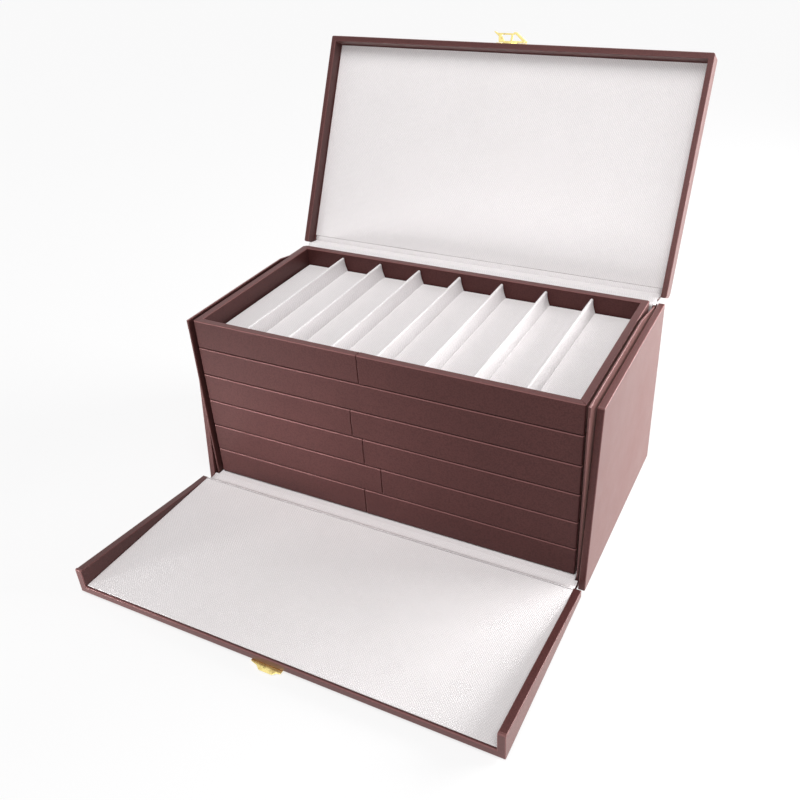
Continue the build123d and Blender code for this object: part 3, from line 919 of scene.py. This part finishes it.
class CASE_OT_trays(bpy.types.Operator):
    """Six trays: wrapped frame, padded bed and covered ribs"""
    bl_idname = "case.trays"
    bl_label = "Trays"

    # Where the covering overlaps on each tray's front, from the bottom tray up
    seams = (-16.0, 2.0, -13.5, -23.0, None, -12.0)

    def execute(self, context):
        sizes = context.scene.case_sizes
        for number in tray_numbers:
            self.frame(sizes, number)
            self.bed(sizes, number)
            self.ribs(sizes, number)
            floor = frame["nodes"][f"tray_{number}_floor"]
            floor.data.materials.clear()
            floor.data.materials.append(bpy.data.materials["Tray leatherette"])
        return {"FINISHED"}

    def frame(self, sizes, number):
        """Wrapped frame of a tray: one section swept round its four walls."""
        low, high = corners(f"tray_{number}_frame")
        wall = corners(f"tray_{number}_pad")[0].x - low.x - pad_play
        low.z += sizes.tray_slit
        radii = (0.5, sizes.rim_round, sizes.rim_round, 0.4)
        section = rounded_section(wall, high.z - low.z, radii, steps=4, rows=9)
        rings = []
        for (outer, inner, groove, lift, sway) in self.stations(sizes, low, high, wall, number):
            reach = outer - inner
            facing = reach.normalized()
            ring = []
            for across, up, normal_across, normal_up in section:
                point = inner + reach * (across / wall)
                point.x += sway * 0.5 * noise.noise(Vector((up / 5.0, across / 4.0, number * 3.1)))
                top_share = max(0.0, normal_up)
                inner_share = max(0.0, -normal_across)
                sink = groove * max(top_share, 0.6 * inner_share)
                skin = lift * max(0.0, normal_across) + lift * top_share - sink
                place = Vector((point.x, point.y, low.z + up))
                place += Vector((facing.x * normal_across, facing.y * normal_across, normal_up)) * skin
                place += wander(place, sizes.board_wave * 0.8, 7.0 * number)
                ring.append(place)
            rings.append(ring)
        piece = flats_kept(sweep(f"tray_{number}_wrap", rings, closed=True))
        # Painted highlight on the rim's top and on its rounded edges that face up
        highlight_shares = [self.rubbed(strip, section) for strip in range(len(section))]
        mark_highlight_and_wear(piece, [highlight_shares[face % len(highlight_shares)] for face in range(len(piece.data.polygons))])
        finished(piece, "Tray leatherette", f"tray_{number}", [f"tray_{number}_frame"])

    def rubbed(self, strip, section):
        """How much painted highlight the strip after a point of the section gets, from how far it faces up.
        """
        ups = [section[point % len(section)][3] for point in (strip, strip + 1)]
        share = max(0.0, sum(ups)) / 2
        if share < 0.02:
            return 0.0
        return faint_highlight_and_wear if share > 0.95 else edge_highlight_and_wear

    def stations(self, sizes, low, high, wall, number):
        """Places round the frame: outer point, inner point, groove depth, lift and sway of the skin."""
        turns = (0.0, 18.0, 33.0, 42.0, 48.0, 57.0, 72.0, 90.0)
        mitre = (42.0, 48.0)
        spots = [(high.x, low.y, -90.0), (high.x, high.y, 0.0), (low.x, high.y, 90.0), (low.x, low.y, 180.0)]
        found = []
        for index, (x, y, start) in enumerate(spots):
            spot = Vector((x, y))
            way = Vector((1.0 if x > 0 else -1.0, 1.0 if y > (low.y + high.y) / 2 else -1.0))
            centre = spot - way * tray_corner_outer
            inner_centre = spot - way * (wall + tray_corner_inner)
            for turn in turns:
                angle = math.radians(start + turn)
                arm = Vector((math.cos(angle), math.sin(angle)))
                outer, inner = centre + arm * tray_corner_outer, inner_centre + arm * tray_corner_inner
                found.append((outer, inner, mitre_groove if turn in mitre else 0.0, 0.0, 0.0))
            following = spots[(index + 1) % len(spots)]
            found += self.run(sizes, index, spot, Vector(following[:2]), wall, number)
        return found

    def run(self, sizes, index, start, end, wall, number):
        """Stations along one wall, with the seam of the covering on the front one."""
        normals = (Vector((1, 0)), Vector((0, 1)), Vector((-1, 0)), Vector((0, -1)))
        front = 3
        parts = 26
        way = (end - start).normalized()
        length = (end - start).length
        places = [(length * i / parts, 0.0, 0.0, 0.0) for i in range(1, parts)]
        seam = self.seams[number - 1]
        if index == front and seam is not None:
            at = seam - start.x
            gap, step = sizes.seam_gap, sizes.seam_step
            # Distance from the seam, depth of its line, lift and sway of the skin
            near = [
                (-1.5, 0.0, 0.0, 0.5), (-0.8, 0.0, 0.16, 1.0), (-0.5, 0.0, 0.0, 1.0),
                (-0.36, gap, 0.0, 1.0), (0.36, gap, 0.0, 1.0),
                (0.5, 0.0, step, 1.0), (0.85, 0.0, step, 1.0), (2.0, 0.0, step * 0.9, 0.5),
                (6.0, 0.0, step * 0.6, 0.0), (14.0, 0.0, 0.0, 0.0),
            ]
            places = [place for place in places if not at - 2.0 < place[0] < at + 16.0]
            places += [(at + shift, deep, lift, sway) for shift, deep, lift, sway in near]
            places.sort()
        found = []
        clear = tray_corner_outer + 1.0
        inner_clear = wall + tray_corner_inner
        for along, gap, lift, sway in places:
            if clear < along < length - clear:
                inner_along = min(max(along, inner_clear), length - inner_clear)
                inner = start + way * inner_along - normals[index] * wall
                found.append((start + way * along, inner, 0.0, lift - gap, sway))
        return found

    def bed(self, sizes, number):
        """Padded floor of a tray, which swells a little in each compartment."""
        low, high = corners(f"tray_{number}_pad")
        pitch = (high.x - low.x + 2 * pad_play) / compartments
        # Rows across a compartment, and rows beside a wall, closer where the pad turns down
        shares = (0.0, 0.05, 0.085, 0.12, 0.16, 0.24, 0.36, 0.5, 0.64, 0.76, 0.84, 0.88, 0.915, 0.95)
        tuck = (0.0, 0.08, 0.22, 0.45, 0.8, 1.4, 2.6)
        gap = sizes.pad_gap
        start = low.x - pad_play
        xs = sorted({start + pitch * (i + share) for i in range(compartments) for share in shares})
        xs = [x for x in xs if low.x + 4.0 < x < high.x - 4.0]
        xs = [low.x + gap + inset for inset in tuck] + xs + [high.x - gap - inset for inset in tuck[::-1]]
        rows = 26
        margin = 6.0
        ys = [low.y + margin + (high.y - low.y - 2 * margin) * i / rows for i in range(rows + 1)]
        ys = [low.y + gap + inset for inset in tuck] + ys + [high.y - gap - inset for inset in tuck[::-1]]
        sink, swell = 0.3, 0.25
        edge_drop, edge_reach = 1.6, 0.9
        bm = bmesh.new()
        top = {}
        for i, x in enumerate(xs):
            share = ((x - low.x + pad_play) / pitch) % 1.0
            for j, y in enumerate(ys):
                edge_x = max(0.0, 1 - abs(2 * share - 1) ** 6)
                edge_y = max(0.0, 1 - abs(2 * (y - low.y) / (high.y - low.y) - 1) ** 14)
                ripple = noise.noise(Vector((x / 9.0, y / 30.0, number))) * 0.12
                rim = min(x - xs[0], xs[-1] - x, y - ys[0], ys[-1] - y)
                drop = edge_drop * max(0.0, 1.0 - rim / edge_reach) ** 2.2
                z = high.z - sink + (sizes.pad_crown + swell + ripple) * edge_x * edge_y - drop
                top[i, j] = bm.verts.new((x, y, z))
        base = {key: bm.verts.new((vert.co.x, vert.co.y, low.z)) for key, vert in top.items()
                if key[0] in (0, len(xs) - 1) or key[1] in (0, len(ys) - 1)}
        for i in range(len(xs) - 1):
            for j in range(len(ys) - 1):
                bm.faces.new([top[i, j], top[i + 1, j], top[i + 1, j + 1], top[i, j + 1]])
        rim = [(i, 0) for i in range(len(xs))]
        rim += [(len(xs) - 1, j) for j in range(1, len(ys))]
        rim += [(i, len(ys) - 1) for i in range(len(xs) - 2, -1, -1)]
        rim += [(0, j) for j in range(len(ys) - 2, 0, -1)]
        for a, b in zip(rim, rim[1:] + rim[:1]):
            bm.faces.new([top[a], top[b], base[b], base[a]])
        bm.faces.new([base[key] for key in rim])
        piece = to_object(f"tray_{number}_bed", bm)
        finished(piece, "Pad cloth", f"tray_{number}", [f"tray_{number}_pad"])

    def ribs(self, sizes, number):
        """The covered ribs between the compartments of a tray, as one piece."""
        low, high = corners(f"tray_{number}_dividers")
        pad_low, pad_high = corners(f"tray_{number}_pad")
        pitch = (pad_high.x - pad_low.x + 2 * pad_play) / compartments
        ribs = []
        for index in range(1, compartments):
            centre = pad_low.x - pad_play + pitch * index
            ribs.append(self.rib(sizes, centre, low, high, number + 0.37 * index))
        piece = joined(f"tray_{number}_ribs", ribs)
        finished(piece, "Pad cloth", f"tray_{number}", [f"tray_{number}_dividers"])

    def rib(self, sizes, centre, low, high, seed):
        """One covered rib: round crest, straight neck and a foot that flares into the pad."""
        height = high.z - low.z
        crest, foot = sizes.rib_crest / 2, sizes.rib_foot / 2
        shoulder = height - crest
        root, flare = 0.6, 1.9
        neck_steps, crest_steps = 10, 4
        half = []
        for index in range(neck_steps + 1):
            t = index / neck_steps
            half.append((crest + (foot - crest) * (1 - t) ** flare, (shoulder + root) * t - root))
        for index in range(1, crest_steps + 1):
            angle = math.radians(90.0 * index / crest_steps)
            half.append((crest * math.cos(angle), shoulder + crest * math.sin(angle)))
        section = half + [(-x, z) for x, z in half[-2::-1]]
        # Each end, as distance from it, share of the width and share of the height
        runs = [(0.0, 0.5, 0.94), (0.12, 0.78, 0.975), (0.4, 0.94, 0.993), (1.0, 1.0, 1.0)]
        end_gap, margin, parts = 0.5, 4.0, 18
        length = high.y - low.y
        places = [(low.y + end_gap + y, wide, tall) for y, wide, tall in runs]
        places += [(low.y + margin + (length - 2 * margin) * i / parts, 1.0, 1.0) for i in range(parts + 1)]
        places += [(high.y - end_gap - y, wide, tall) for y, wide, tall in runs[::-1]]
        rings = []
        for y, wide, tall in places:
            bend = noise.noise(Vector((y / 45.0, seed, 0.3))) * 0.22
            ring = []
            for x, z in section:
                share = max(0.0, z / height)
                narrow = 1.0 - (1.0 - wide) * (0.3 + 0.7 * share)
                crease = noise.noise(Vector((x / 2.5, y / 12.0, seed))) * 0.08
                across = centre + x * narrow + bend * share + crease
                ring.append((across, y, low.z + z * (1 - (1 - tall) * share)))
            rings.append(ring)
        return sweep("rib", rings, closed=False, capped=True)


class CASE_OT_lid(bpy.types.Operator):
    """Lid shell in one covering, with its lining"""
    bl_idname = "case.lid"
    bl_label = "Lid"

    def execute(self, context):
        sizes = context.scene.case_sizes
        side_inner = panel_inner + sizes.lid_rim_trim
        front_inner = lid_front_inner - sizes.lid_rim_trim
        stops = [
            [-panel_outer, -side_inner, side_inner, panel_outer],
            [lid_front_outer, front_inner, board_back, back_face],
            [rim_face, board_level, lid_top],
        ]

        def solid(i, j, k):
            rim = i in (0, 2)
            return rim or (j == 0 and i == 1) or (i == 1 and j == 1 and k == 1)

        def cut_back(point):
            past = max(0.0, point.y - board_back) / (back_face - board_back)
            share = (point.z - rim_face) / (lid_top - rim_face)
            return Vector((point.x, point.y, point.z - lid_back_drop * past * share))

        def corner_weight(point):
            """The outer upright corners and the outer lower ends are rounder than the rest."""
            near = 0.6
            edge_x = abs(point.x) > panel_outer - near
            edge_y = point.y < lid_front_outer + near or point.y > back_face - near
            inside = rim_face + near < point.z < lid_top - near
            return 1.0 if edge_x and edge_y and inside else sizes.board_round / sizes.corner_round

        # The rims' edge faces, which face down when the lid is shut, carry a painted highlight
        shell = block(
            "lid_shell", stops, solid, sizes.corner_round, place=lid_open, warp=cut_back,
            weight=corner_weight, wave=sizes.board_wave, seed=11.0, highlight_toward=(0, 0, -1),
        )
        ends = [sorted((side * (side_inner + 0.2), side * (panel_outer - 1.2))) for side in (-1, 1)]
        rolls = []
        for x0, x1 in ends:
            low, high = (x0, back_face - 1.9, rim_face + 0.05), (x1, back_face - 0.3, rim_face + 0.8)
            rolls.append(fold(low, high, place=lid_open))
        shell = joined("lid_wrap", [shell] + rolls)
        nodes = ["lid_board", "lid_rim_left", "lid_rim_right", "lid_rim_front"]
        finished(shell, "Brown leatherette", "lid", nodes)
        half = side_inner - sizes.lining_gap
        front = front_inner + sizes.lining_gap
        stops = [[-half, half], [front, lining_back], [lining_level, board_level]]
        lining = block(
            "lid_cloth", stops, whole, sheet_round, place=lid_open, wave=0.1, seed=12.0, step=12.0,
        )
        finished(lining, "Pale lining", "lid", ["lid_lining"])
        return {"FINISHED"}


def on(matrix, y, z):
    """Where a (y, z) point of the shut case lies when its piece is open."""
    point = matrix @ Vector((0, y, z))
    return (point.y, point.z)


class CASE_OT_spine(bpy.types.Operator):
    """Spine board and the cloth of the two creases beside it"""
    bl_idname = "case.spine"
    bl_label = "Spine and its creases"

    def execute(self, context):
        half = spine_half
        inner = back_face - spine_thickness
        face = inner - lining_thickness
        stops = [[-half, half], [inner, back_face], [spine_bottom, spine_top]]
        board = block("spine_wrap", stops, whole, thin_round, place=spine_open)
        finished(board, "Brown leatherette", "spine", ["spine_board"])
        stops = [[-half, half], [face, inner], [spine_bottom, spine_top]]
        lining = block("spine_cloth", stops, whole, lining_round, place=spine_open, wave=0.06, step=10.0)
        finished(lining, "Pale lining", "spine", ["spine_lining"])
        self.back_crease(half, face)
        self.lid_crease(half, face)
        return {"FINISHED"}

    def back_crease(self, half, face):
        """The lining and the outer covering between the back board and the spine."""
        points = [
            (back_low.y + 0.3, panel_top + 0.55),
            (back_low.y + 3.0, panel_top + 0.75),
            on(spine_open, face - 0.5, spine_bottom - 0.9),
            on(spine_open, face - 0.25, spine_bottom + 0.8),
        ]
        cloth_strip(
            "back_crease_cloth", points, half - crease_lining_trim, 0.5, "Pale lining",
            ["back_crease_lining"], seed=1.0,
        )
        points = [
            on(spine_open, back_face + 0.4, spine_bottom + 4.5),
            on(spine_open, back_face + 0.9, spine_bottom + 1.0),
            (back_face + 0.8, panel_top - 2.6),
            (back_face + 0.35, panel_top - 5.0),
            (back_face + 0.35, panel_top - 10.0),
        ]
        cloth_strip(
            "back_crease_wrap", points, half - crease_wrap_trim, wrap_thickness, "Brown leatherette",
            ["back_crease_cover"], slack=0.25, seed=2.0,
        )

    def lid_crease(self, half, face):
        """The lining and the outer covering between the spine and the lid."""
        points = [
            on(spine_open, face + 0.1, spine_top - 2.4),
            on(spine_open, face + 0.02, spine_top - 0.4),
            on(lid_open, board_back - 0.6, board_level - 0.65),
            on(lid_open, lining_back + 0.2, board_level - 0.6),
        ]
        cloth_strip(
            "lid_crease_cloth", points, half - crease_lining_trim, wrap_thickness, "Pale lining",
            ["lid_crease_lining"], seed=3.0,
        )
        points = [
            on(lid_open, board_back - 5.0, lid_top + 0.35),
            on(lid_open, board_back - 1.5, lid_top + 0.4),
            on(lid_open, board_back + 0.9, lid_top - 0.9),
            on(spine_open, back_face + 0.4, spine_top - 0.5),
            on(spine_open, back_face + 0.35, spine_top - 4.0),
        ]
        cloth_strip(
            "lid_crease_wrap", points, half - crease_wrap_trim, wrap_thickness, "Brown leatherette",
            ["lid_crease_cover"], slack=0.25, seed=4.0,
        )


class CASE_OT_drop_front(bpy.types.Operator):
    """Drop front with its tapering flanges, lining and crease"""
    bl_idname = "case.drop_front"
    bl_label = "Drop front"

    def execute(self, context):
        sizes = context.scene.case_sizes
        rise = flange_high.z - flange_low.z
        near, far = flap_high.y, flap_low.y

        def tapered(point):
            above = point.z - flap_high.z
            share = max(0.03, (near - point.y) / (near - far))
            return Vector((point.x, point.y, flap_high.z + above * share)) if above > 0 else point

        def taper_round(point):
            share = (near - point.y) / (near - far)
            if point.z < flap_high.z + 0.1 and abs(point.x) > panel_outer - 0.5:
                return 1.0
            return min(1.0, max(0.05, share * rise / 3.0))

        stops = [
            [-panel_outer, -panel_inner, panel_inner, panel_outer],
            [far, near],
            [flap_low.z, flap_high.z, flap_high.z + rise],
        ]

        def solid(i, j, k):
            return k == 0 or i in (0, 2)

        # Edges facing the front carry a painted highlight
        shell = block(
            "flap_shell", stops, solid, sizes.board_round, warp=tapered,
            weight=taper_round, wave=sizes.board_wave, seed=15.0, highlight_toward=(0, -1, 0),
        )
        top = flap_high.z + rise
        ends = [sorted((side * (panel_inner + 0.2), side * (panel_outer - 0.2))) for side in (-1, 1)]
        rolls = [fold((x0, far + 0.5, top - 0.8), (x1, far + 2.4, top + fold_rise)) for x0, x1 in ends]
        shell = joined("flap_wrap", [shell] + rolls)
        nodes = ["flap_board", "flap_flange_left", "flap_flange_right"]
        finished(shell, "Brown leatherette", "drop_front", nodes)
        low, high = corners("flap_lining")
        lining = block(
            "flap_cloth", box_stops(low, high), whole, sheet_round, wave=0.1, seed=16.0, step=12.0,
        )
        finished(lining, "Pale lining", "drop_front", ["flap_lining"])
        self.creases(panel_inner - 0.3, near)
        return {"FINISHED"}

    def creases(self, half, near):
        """The lining and the outer covering between the floor and the drop front."""
        middle = (floor_low.y + near) / 2
        points = [
            (floor_low.y + 1.2, floor_high.z + 1.35),
            (floor_low.y - 0.6, floor_high.z + 1.0),
            (middle - 1.0, flap_high.z - 3.1),
            (near + 0.4, flap_high.z - 1.0),
            (near - 1.8, flap_high.z + 0.7),
        ]
        cloth_strip(
            "flap_crease_cloth", points, half, 0.55, "Pale lining",
            ["flap_crease_lining"], seed=5.0,
        )
        points = [
            (floor_low.y + 6.0, 0.0),
            (floor_low.y, 0.1),
            (floor_low.y - 4.0, 0.6),
            (near, flap_low.z + 0.1),
            (near - 5.0, flap_low.z),
        ]
        cloth_strip(
            "flap_crease_wrap", points, half, wrap_thickness, "Brown leatherette",
            ["flap_crease_cover"], seed=6.0,
        )


class CASE_OT_hasp(bpy.types.Operator):
    """Gilt plate, pin, rivets and openwork leaf on the lid"""
    bl_idname = "case.hasp"
    bl_label = "Hasp"

    # Outlines in millimetres: x to the right, y away from the pin
    leaf = [
        (-6.0, 0.6), (-6.0, 1.5), (-10.6, 1.5), (-11.4, 6.8), (-13.8, 8.4), (-16.6, 10.6), (-15.4, 11.1),
        (-12.2, 9.6), (2.6, 9.7), (3.4, 10.8), (6.6, 10.6), (17.6, 2.7), (17.0, 1.5), (8.0, 1.5), (8.0, 0.6),
    ]
    knob_window = [(-4.6, 2.8), (-8.8, 8.2), (0.9, 8.2), (0.9, 2.8)]
    side_window = [(3.1, 3.0), (3.1, 8.7), (5.2, 8.7), (12.4, 3.0)]

    axis_y, axis_z = lid_front_outer - 1.3, rim_face + 8.0
    leaf_barrel = (-5.95, 7.95)
    plate_barrels = ((-12.45, -6.25), (8.25, 17.45))
    rivets = (-8.5, 13.5)

    def execute(self, context):
        flipped = Matrix.Diagonal((1, -1, 1, 1))
        stand = lid_open @ Matrix.Translation((0, self.axis_y, self.axis_z)) @ flipped
        outlines = [eased(self.leaf, 0.7), eased(self.knob_window, 0.6), eased(self.side_window, 0.6)]
        leaf = stamped("hasp_leaf", outlines, stand)
        leaf = joined("hasp_leaf", [leaf, self.knuckle(*self.leaf_barrel)])
        finished(leaf, "Gilt metal", "hasp", ["hasp_arm"])
        finished(self.plate(), "Gilt metal", "lid", ["hasp_plate"])
        pin = turned(
            "hasp_hinge_pin", [(-12.95, 0.2), (-12.8, 0.42), (17.8, 0.42), (17.95, 0.2)],
            (0, self.axis_y, self.axis_z), lid_open,
        )
        finished(pin, "Gilt metal", "lid", ["hasp_pin"])
        face = lid_front_outer - metal_thickness
        heads = [rivet(x, face, self.axis_z + barrel_radius + 3.5, lid_open) for x in self.rivets]
        finished(joined("hasp_rivet_heads", heads), "Gilt metal", "lid", ["hasp_rivets"])
        return {"FINISHED"}

    def plate(self):
        """The plate on the lid, with its knuckles and the webs that carry them."""
        low = self.axis_z + 1.41
        shoulder, top = low + 5.0, low + 7.0
        outline = [
            (-12.5, low), (17.5, low), (17.5, shoulder), (15.1, top), (-10.1, top), (-12.5, shoulder),
        ]
        middle = lid_front_outer - metal_thickness / 2
        parts = [stamped("hasp_upright", [eased(outline, 1.2)], lid_open @ upright(middle))]
        depth = [lid_front_outer - metal_thickness, lid_front_outer]
        for ends in self.plate_barrels:
            parts.append(self.knuckle(*ends))
            stops = [ends, depth, [self.axis_z, low + 0.5]]
            parts.append(block("web", stops, whole, 0.12, place=lid_open))
        return joined("hasp_plate_and_knuckles", parts)

    def knuckle(self, x0, x1):
        """Rolled knuckle with softened ends and the lip of the roll."""
        soft, lip, bore = 0.12, 0.9, 0.5
        profile = [
            (x0, bore), (x0, lip), (x0 + soft, barrel_radius),
            (x1 - soft, barrel_radius), (x1, lip), (x1, bore),
        ]
        return turned("knuckle", profile, (0, self.axis_y, self.axis_z), lid_open)


def upright(y):
    """Stands a plate that is drawn in X and Y up in X and Z, at a place in Y."""
    return Matrix.Translation((0, y, 0)) @ Matrix.Rotation(math.radians(90), 4, "X")


def rivet(x, face, z, place):
    """Domed rivet head on a plate that faces the front."""
    dome = [(0.1, 1.5), (-0.12, 1.5), (-0.3, 1.36), (-0.46, 1.0), (-0.54, 0.5), (-0.56, 0.08)]
    return turned("rivet", dome, (x, face, z), place, axis="Y")


class CASE_OT_catch(bpy.types.Operator):
    """Gilt catch with its knob and rivets on the drop front"""
    bl_idname = "case.catch"
    bl_label = "Catch"

    # How far the plate stands clear of the covering
    stand_off = 0.12
    rivets = (-10.0, 8.0)

    def execute(self, context):
        top, face = panel_top, lid_front_outer
        outline = [
            (-14.0, top - 9.0), (12.0, top - 9.0), (12.0, top + 3.0), (9.0, top + 3.3), (6.5, top + 6.0),
            (-5.5, top + 6.0), (-9.0, top + 3.0), (-15.6, top + 1.2),
        ]
        plate_place = flap_open @ upright(face - metal_thickness / 2 - self.stand_off)
        plate = stamped("catch_upright", [eased(outline, 0.9)], plate_place)
        finished(plate, "Gilt metal", "drop_front", ["catch_plate"])
        profile = [
            (-self.stand_off, 1.08), (-1.72, 1.08), (-1.76, 1.9), (-1.86, 2.0), (-2.06, 1.96), (-2.18, 1.7),
            (-2.2, 0.1),
        ]
        knob = turned("catch_stud", profile, (-2.2, face, top + 2.5), flap_open, axis="Y")
        finished(knob, "Gilt metal", "drop_front", ["catch_knob"])
        heads = [rivet(x, face - metal_thickness, top - 4.95, flap_open) for x in self.rivets]
        finished(joined("catch_rivet_heads", heads), "Gilt metal", "drop_front", ["catch_rivets"])
        return {"FINISHED"}


# Stage

class CASE_OT_stage(bpy.types.Operator):
    """Pale floor, soft studio light and the camera"""
    bl_idname = "case.stage"
    bl_label = "Stage"

    def execute(self, context):
        self.camera(context)
        self.floor(context)
        self.world(context)
        self.lamps()
        context.scene.view_settings.view_transform = "Standard"
        return {"FINISHED"}

    def camera(self, context):
        """The photo's camera, from its turn, tilt and roll in degrees and its place in metres."""
        yaw, pitch, roll = [math.radians(value) for value in (28.304, 32.137, -3.044)]
        ahead = Vector((
            -math.sin(yaw) * math.cos(pitch), math.cos(yaw) * math.cos(pitch), -math.sin(pitch),
        ))
        level = Vector((math.cos(yaw), math.sin(yaw), 0.0))
        above = level.cross(ahead)
        right = math.cos(roll) * level + math.sin(roll) * above
        up = -math.sin(roll) * level + math.cos(roll) * above
        data = bpy.data.cameras.new("camera")
        data.sensor_width = 36.0
        data.lens = 39.05
        data.shift_x = -0.0218
        data.shift_y = -0.0048
        data.clip_start = 0.01
        camera = bpy.data.objects.new("camera", data)
        camera.matrix_world = Matrix((
            (right.x, up.x, -ahead.x, 0.31225), (right.y, up.y, -ahead.y, -0.59515),
            (right.z, up.z, -ahead.z, 0.503), (0, 0, 0, 1),
        ))
        context.scene.collection.objects.link(camera)
        context.scene.camera = camera

    def floor(self, context):
        """A wide table top that is white for the camera and keeps its shadow."""
        bm = bmesh.new()
        reach, level = 6000.0, -0.05
        spots = ((-1, -1), (1, -1), (1, 1), (-1, 1))
        bm.faces.new([bm.verts.new((x * reach, y * reach, level)) for x, y in spots])
        table = to_object("table", bm)
        material, tree, shader = new_material("Table")
        shader.inputs["Base Color"].default_value = (*context.scene.case_colours.table, 1.0)
        shader.inputs["Roughness"].default_value = 0.9
        shader.inputs["Specular IOR Level"].default_value = 0.1
        glow = tree.nodes.new("ShaderNodeEmission")
        glow.inputs["Color"].default_value = (1.0, 1.0, 1.0, 1.0)
        mix = tree.nodes.new("ShaderNodeMixShader")
        tree.links.new(self.seen(tree, 0.72), mix.inputs["Fac"])
        tree.links.new(shader.outputs["BSDF"], mix.inputs[1])
        tree.links.new(glow.outputs["Emission"], mix.inputs[2])
        tree.links.new(mix.outputs["Shader"], tree.nodes["Material Output"].inputs["Surface"])
        table.data.materials.append(material)

    def seen(self, tree, share):
        """A share for what the camera, a reflection or a clear piece sees, and none for the rest."""
        path = tree.nodes.new("ShaderNodeLightPath")
        either = math_node(tree, "MAXIMUM", path.outputs["Is Camera Ray"], path.outputs["Is Glossy Ray"])
        either = math_node(tree, "MAXIMUM", either, path.outputs["Is Transmission Ray"])
        return math_node(tree, "MULTIPLY", either, share)

    def world(self, context):
        """A near white backdrop, and a soft fill for what lights the case."""
        world = bpy.data.worlds.new("studio")
        context.scene.world = world
        world.use_nodes = True
        tree = world.node_tree
        seen = tree.nodes["Background"]
        seen.inputs["Color"].default_value = (0.98, 0.975, 0.98, 1.0)
        seen.inputs["Strength"].default_value = 1.0
        light = tree.nodes.new("ShaderNodeBackground")
        light.inputs["Color"].default_value = (1.0, 1.0, 1.0, 1.0)
        light.inputs["Strength"].default_value = 0.25
        mix = tree.nodes.new("ShaderNodeMixShader")
        tree.links.new(self.seen(tree, 1.0), mix.inputs["Fac"])
        tree.links.new(light.outputs["Background"], mix.inputs[1])
        tree.links.new(seen.outputs["Background"], mix.inputs[2])
        tree.links.new(mix.outputs["Shader"], tree.nodes["World Output"].inputs["Surface"])

    def lamps(self):
        """Even light from above, a low softbox at the left, one in front and one at the right."""
        above = bpy.data.lights.new("above", "SUN")
        above.energy = 2.1
        above.angle = math.radians(40.0)
        lamp = bpy.data.objects.new("above", above)
        lamp.rotation_euler = Vector((-0.12, 0.36, -1.0)).to_track_quat("-Z", "Y").to_euler()
        bpy.context.scene.collection.objects.link(lamp)
        # Name, place, target and size in metres, power in watts, spread in degrees
        boxes = [
            ("left", (-0.5, -0.62, 0.08), (-0.13, -0.09, 0.075), (0.25, 0.14), 0.175, 23.0),
            ("front", (0.1, -1.1, 0.95), (0.0, 0.23, 0.41), (0.3, 0.3), 0.3, 42.0),
            ("right", (0.9, 0.5, 0.28), (0.18, 0.0, 0.1), (0.7, 0.45), 18.0, 180.0),
        ]
        for name, place, target, size, power, spread in boxes:
            data = bpy.data.lights.new(name, "AREA")
            data.shape = "RECTANGLE"
            data.size, data.size_y = size
            data.energy = power
            data.spread = math.radians(spread)
            lamp = bpy.data.objects.new(name, data)
            lamp.location = place
            lamp.rotation_euler = (Vector(target) - Vector(place)).to_track_quat("-Z", "Y").to_euler()
            lamp.visible_camera = False
            bpy.context.scene.collection.objects.link(lamp)


class CASE_PT_panel(bpy.types.Panel):
    """Lists the pieces of the display case"""
    bl_label = "Display case"
    bl_idname = "CASE_PT_panel"
    bl_space_type = "VIEW_3D"
    bl_region_type = "UI"
    bl_category = "Display case"

    def draw(self, context):
        for group in (context.scene.case_sizes, context.scene.case_colours):
            for name in group.__annotations__:
                self.layout.prop(group, name)
        for operator in operators:
            self.layout.operator(operator.bl_idname)


operators = (
    CASE_OT_stage, CASE_OT_panels, CASE_OT_linings, CASE_OT_trays, CASE_OT_lid, CASE_OT_spine,
    CASE_OT_drop_front, CASE_OT_hasp, CASE_OT_catch,
)
classes = (CaseSizes, CaseColours) + operators + (CASE_PT_panel,)


def register():
    for cls in classes:
        bpy.utils.register_class(cls)
    bpy.types.Scene.case_sizes = PointerProperty(type=CaseSizes)
    bpy.types.Scene.case_colours = PointerProperty(type=CaseColours)


def unregister():
    del bpy.types.Scene.case_sizes
    del bpy.types.Scene.case_colours
    for cls in reversed(classes):
        bpy.utils.unregister_class(cls)


def main():
    register()
    make_materials()
    for operator in operators:
        area, name = operator.bl_idname.split(".")
        getattr(getattr(bpy.ops, area), name)()


if __name__ == "__main__":
    main()
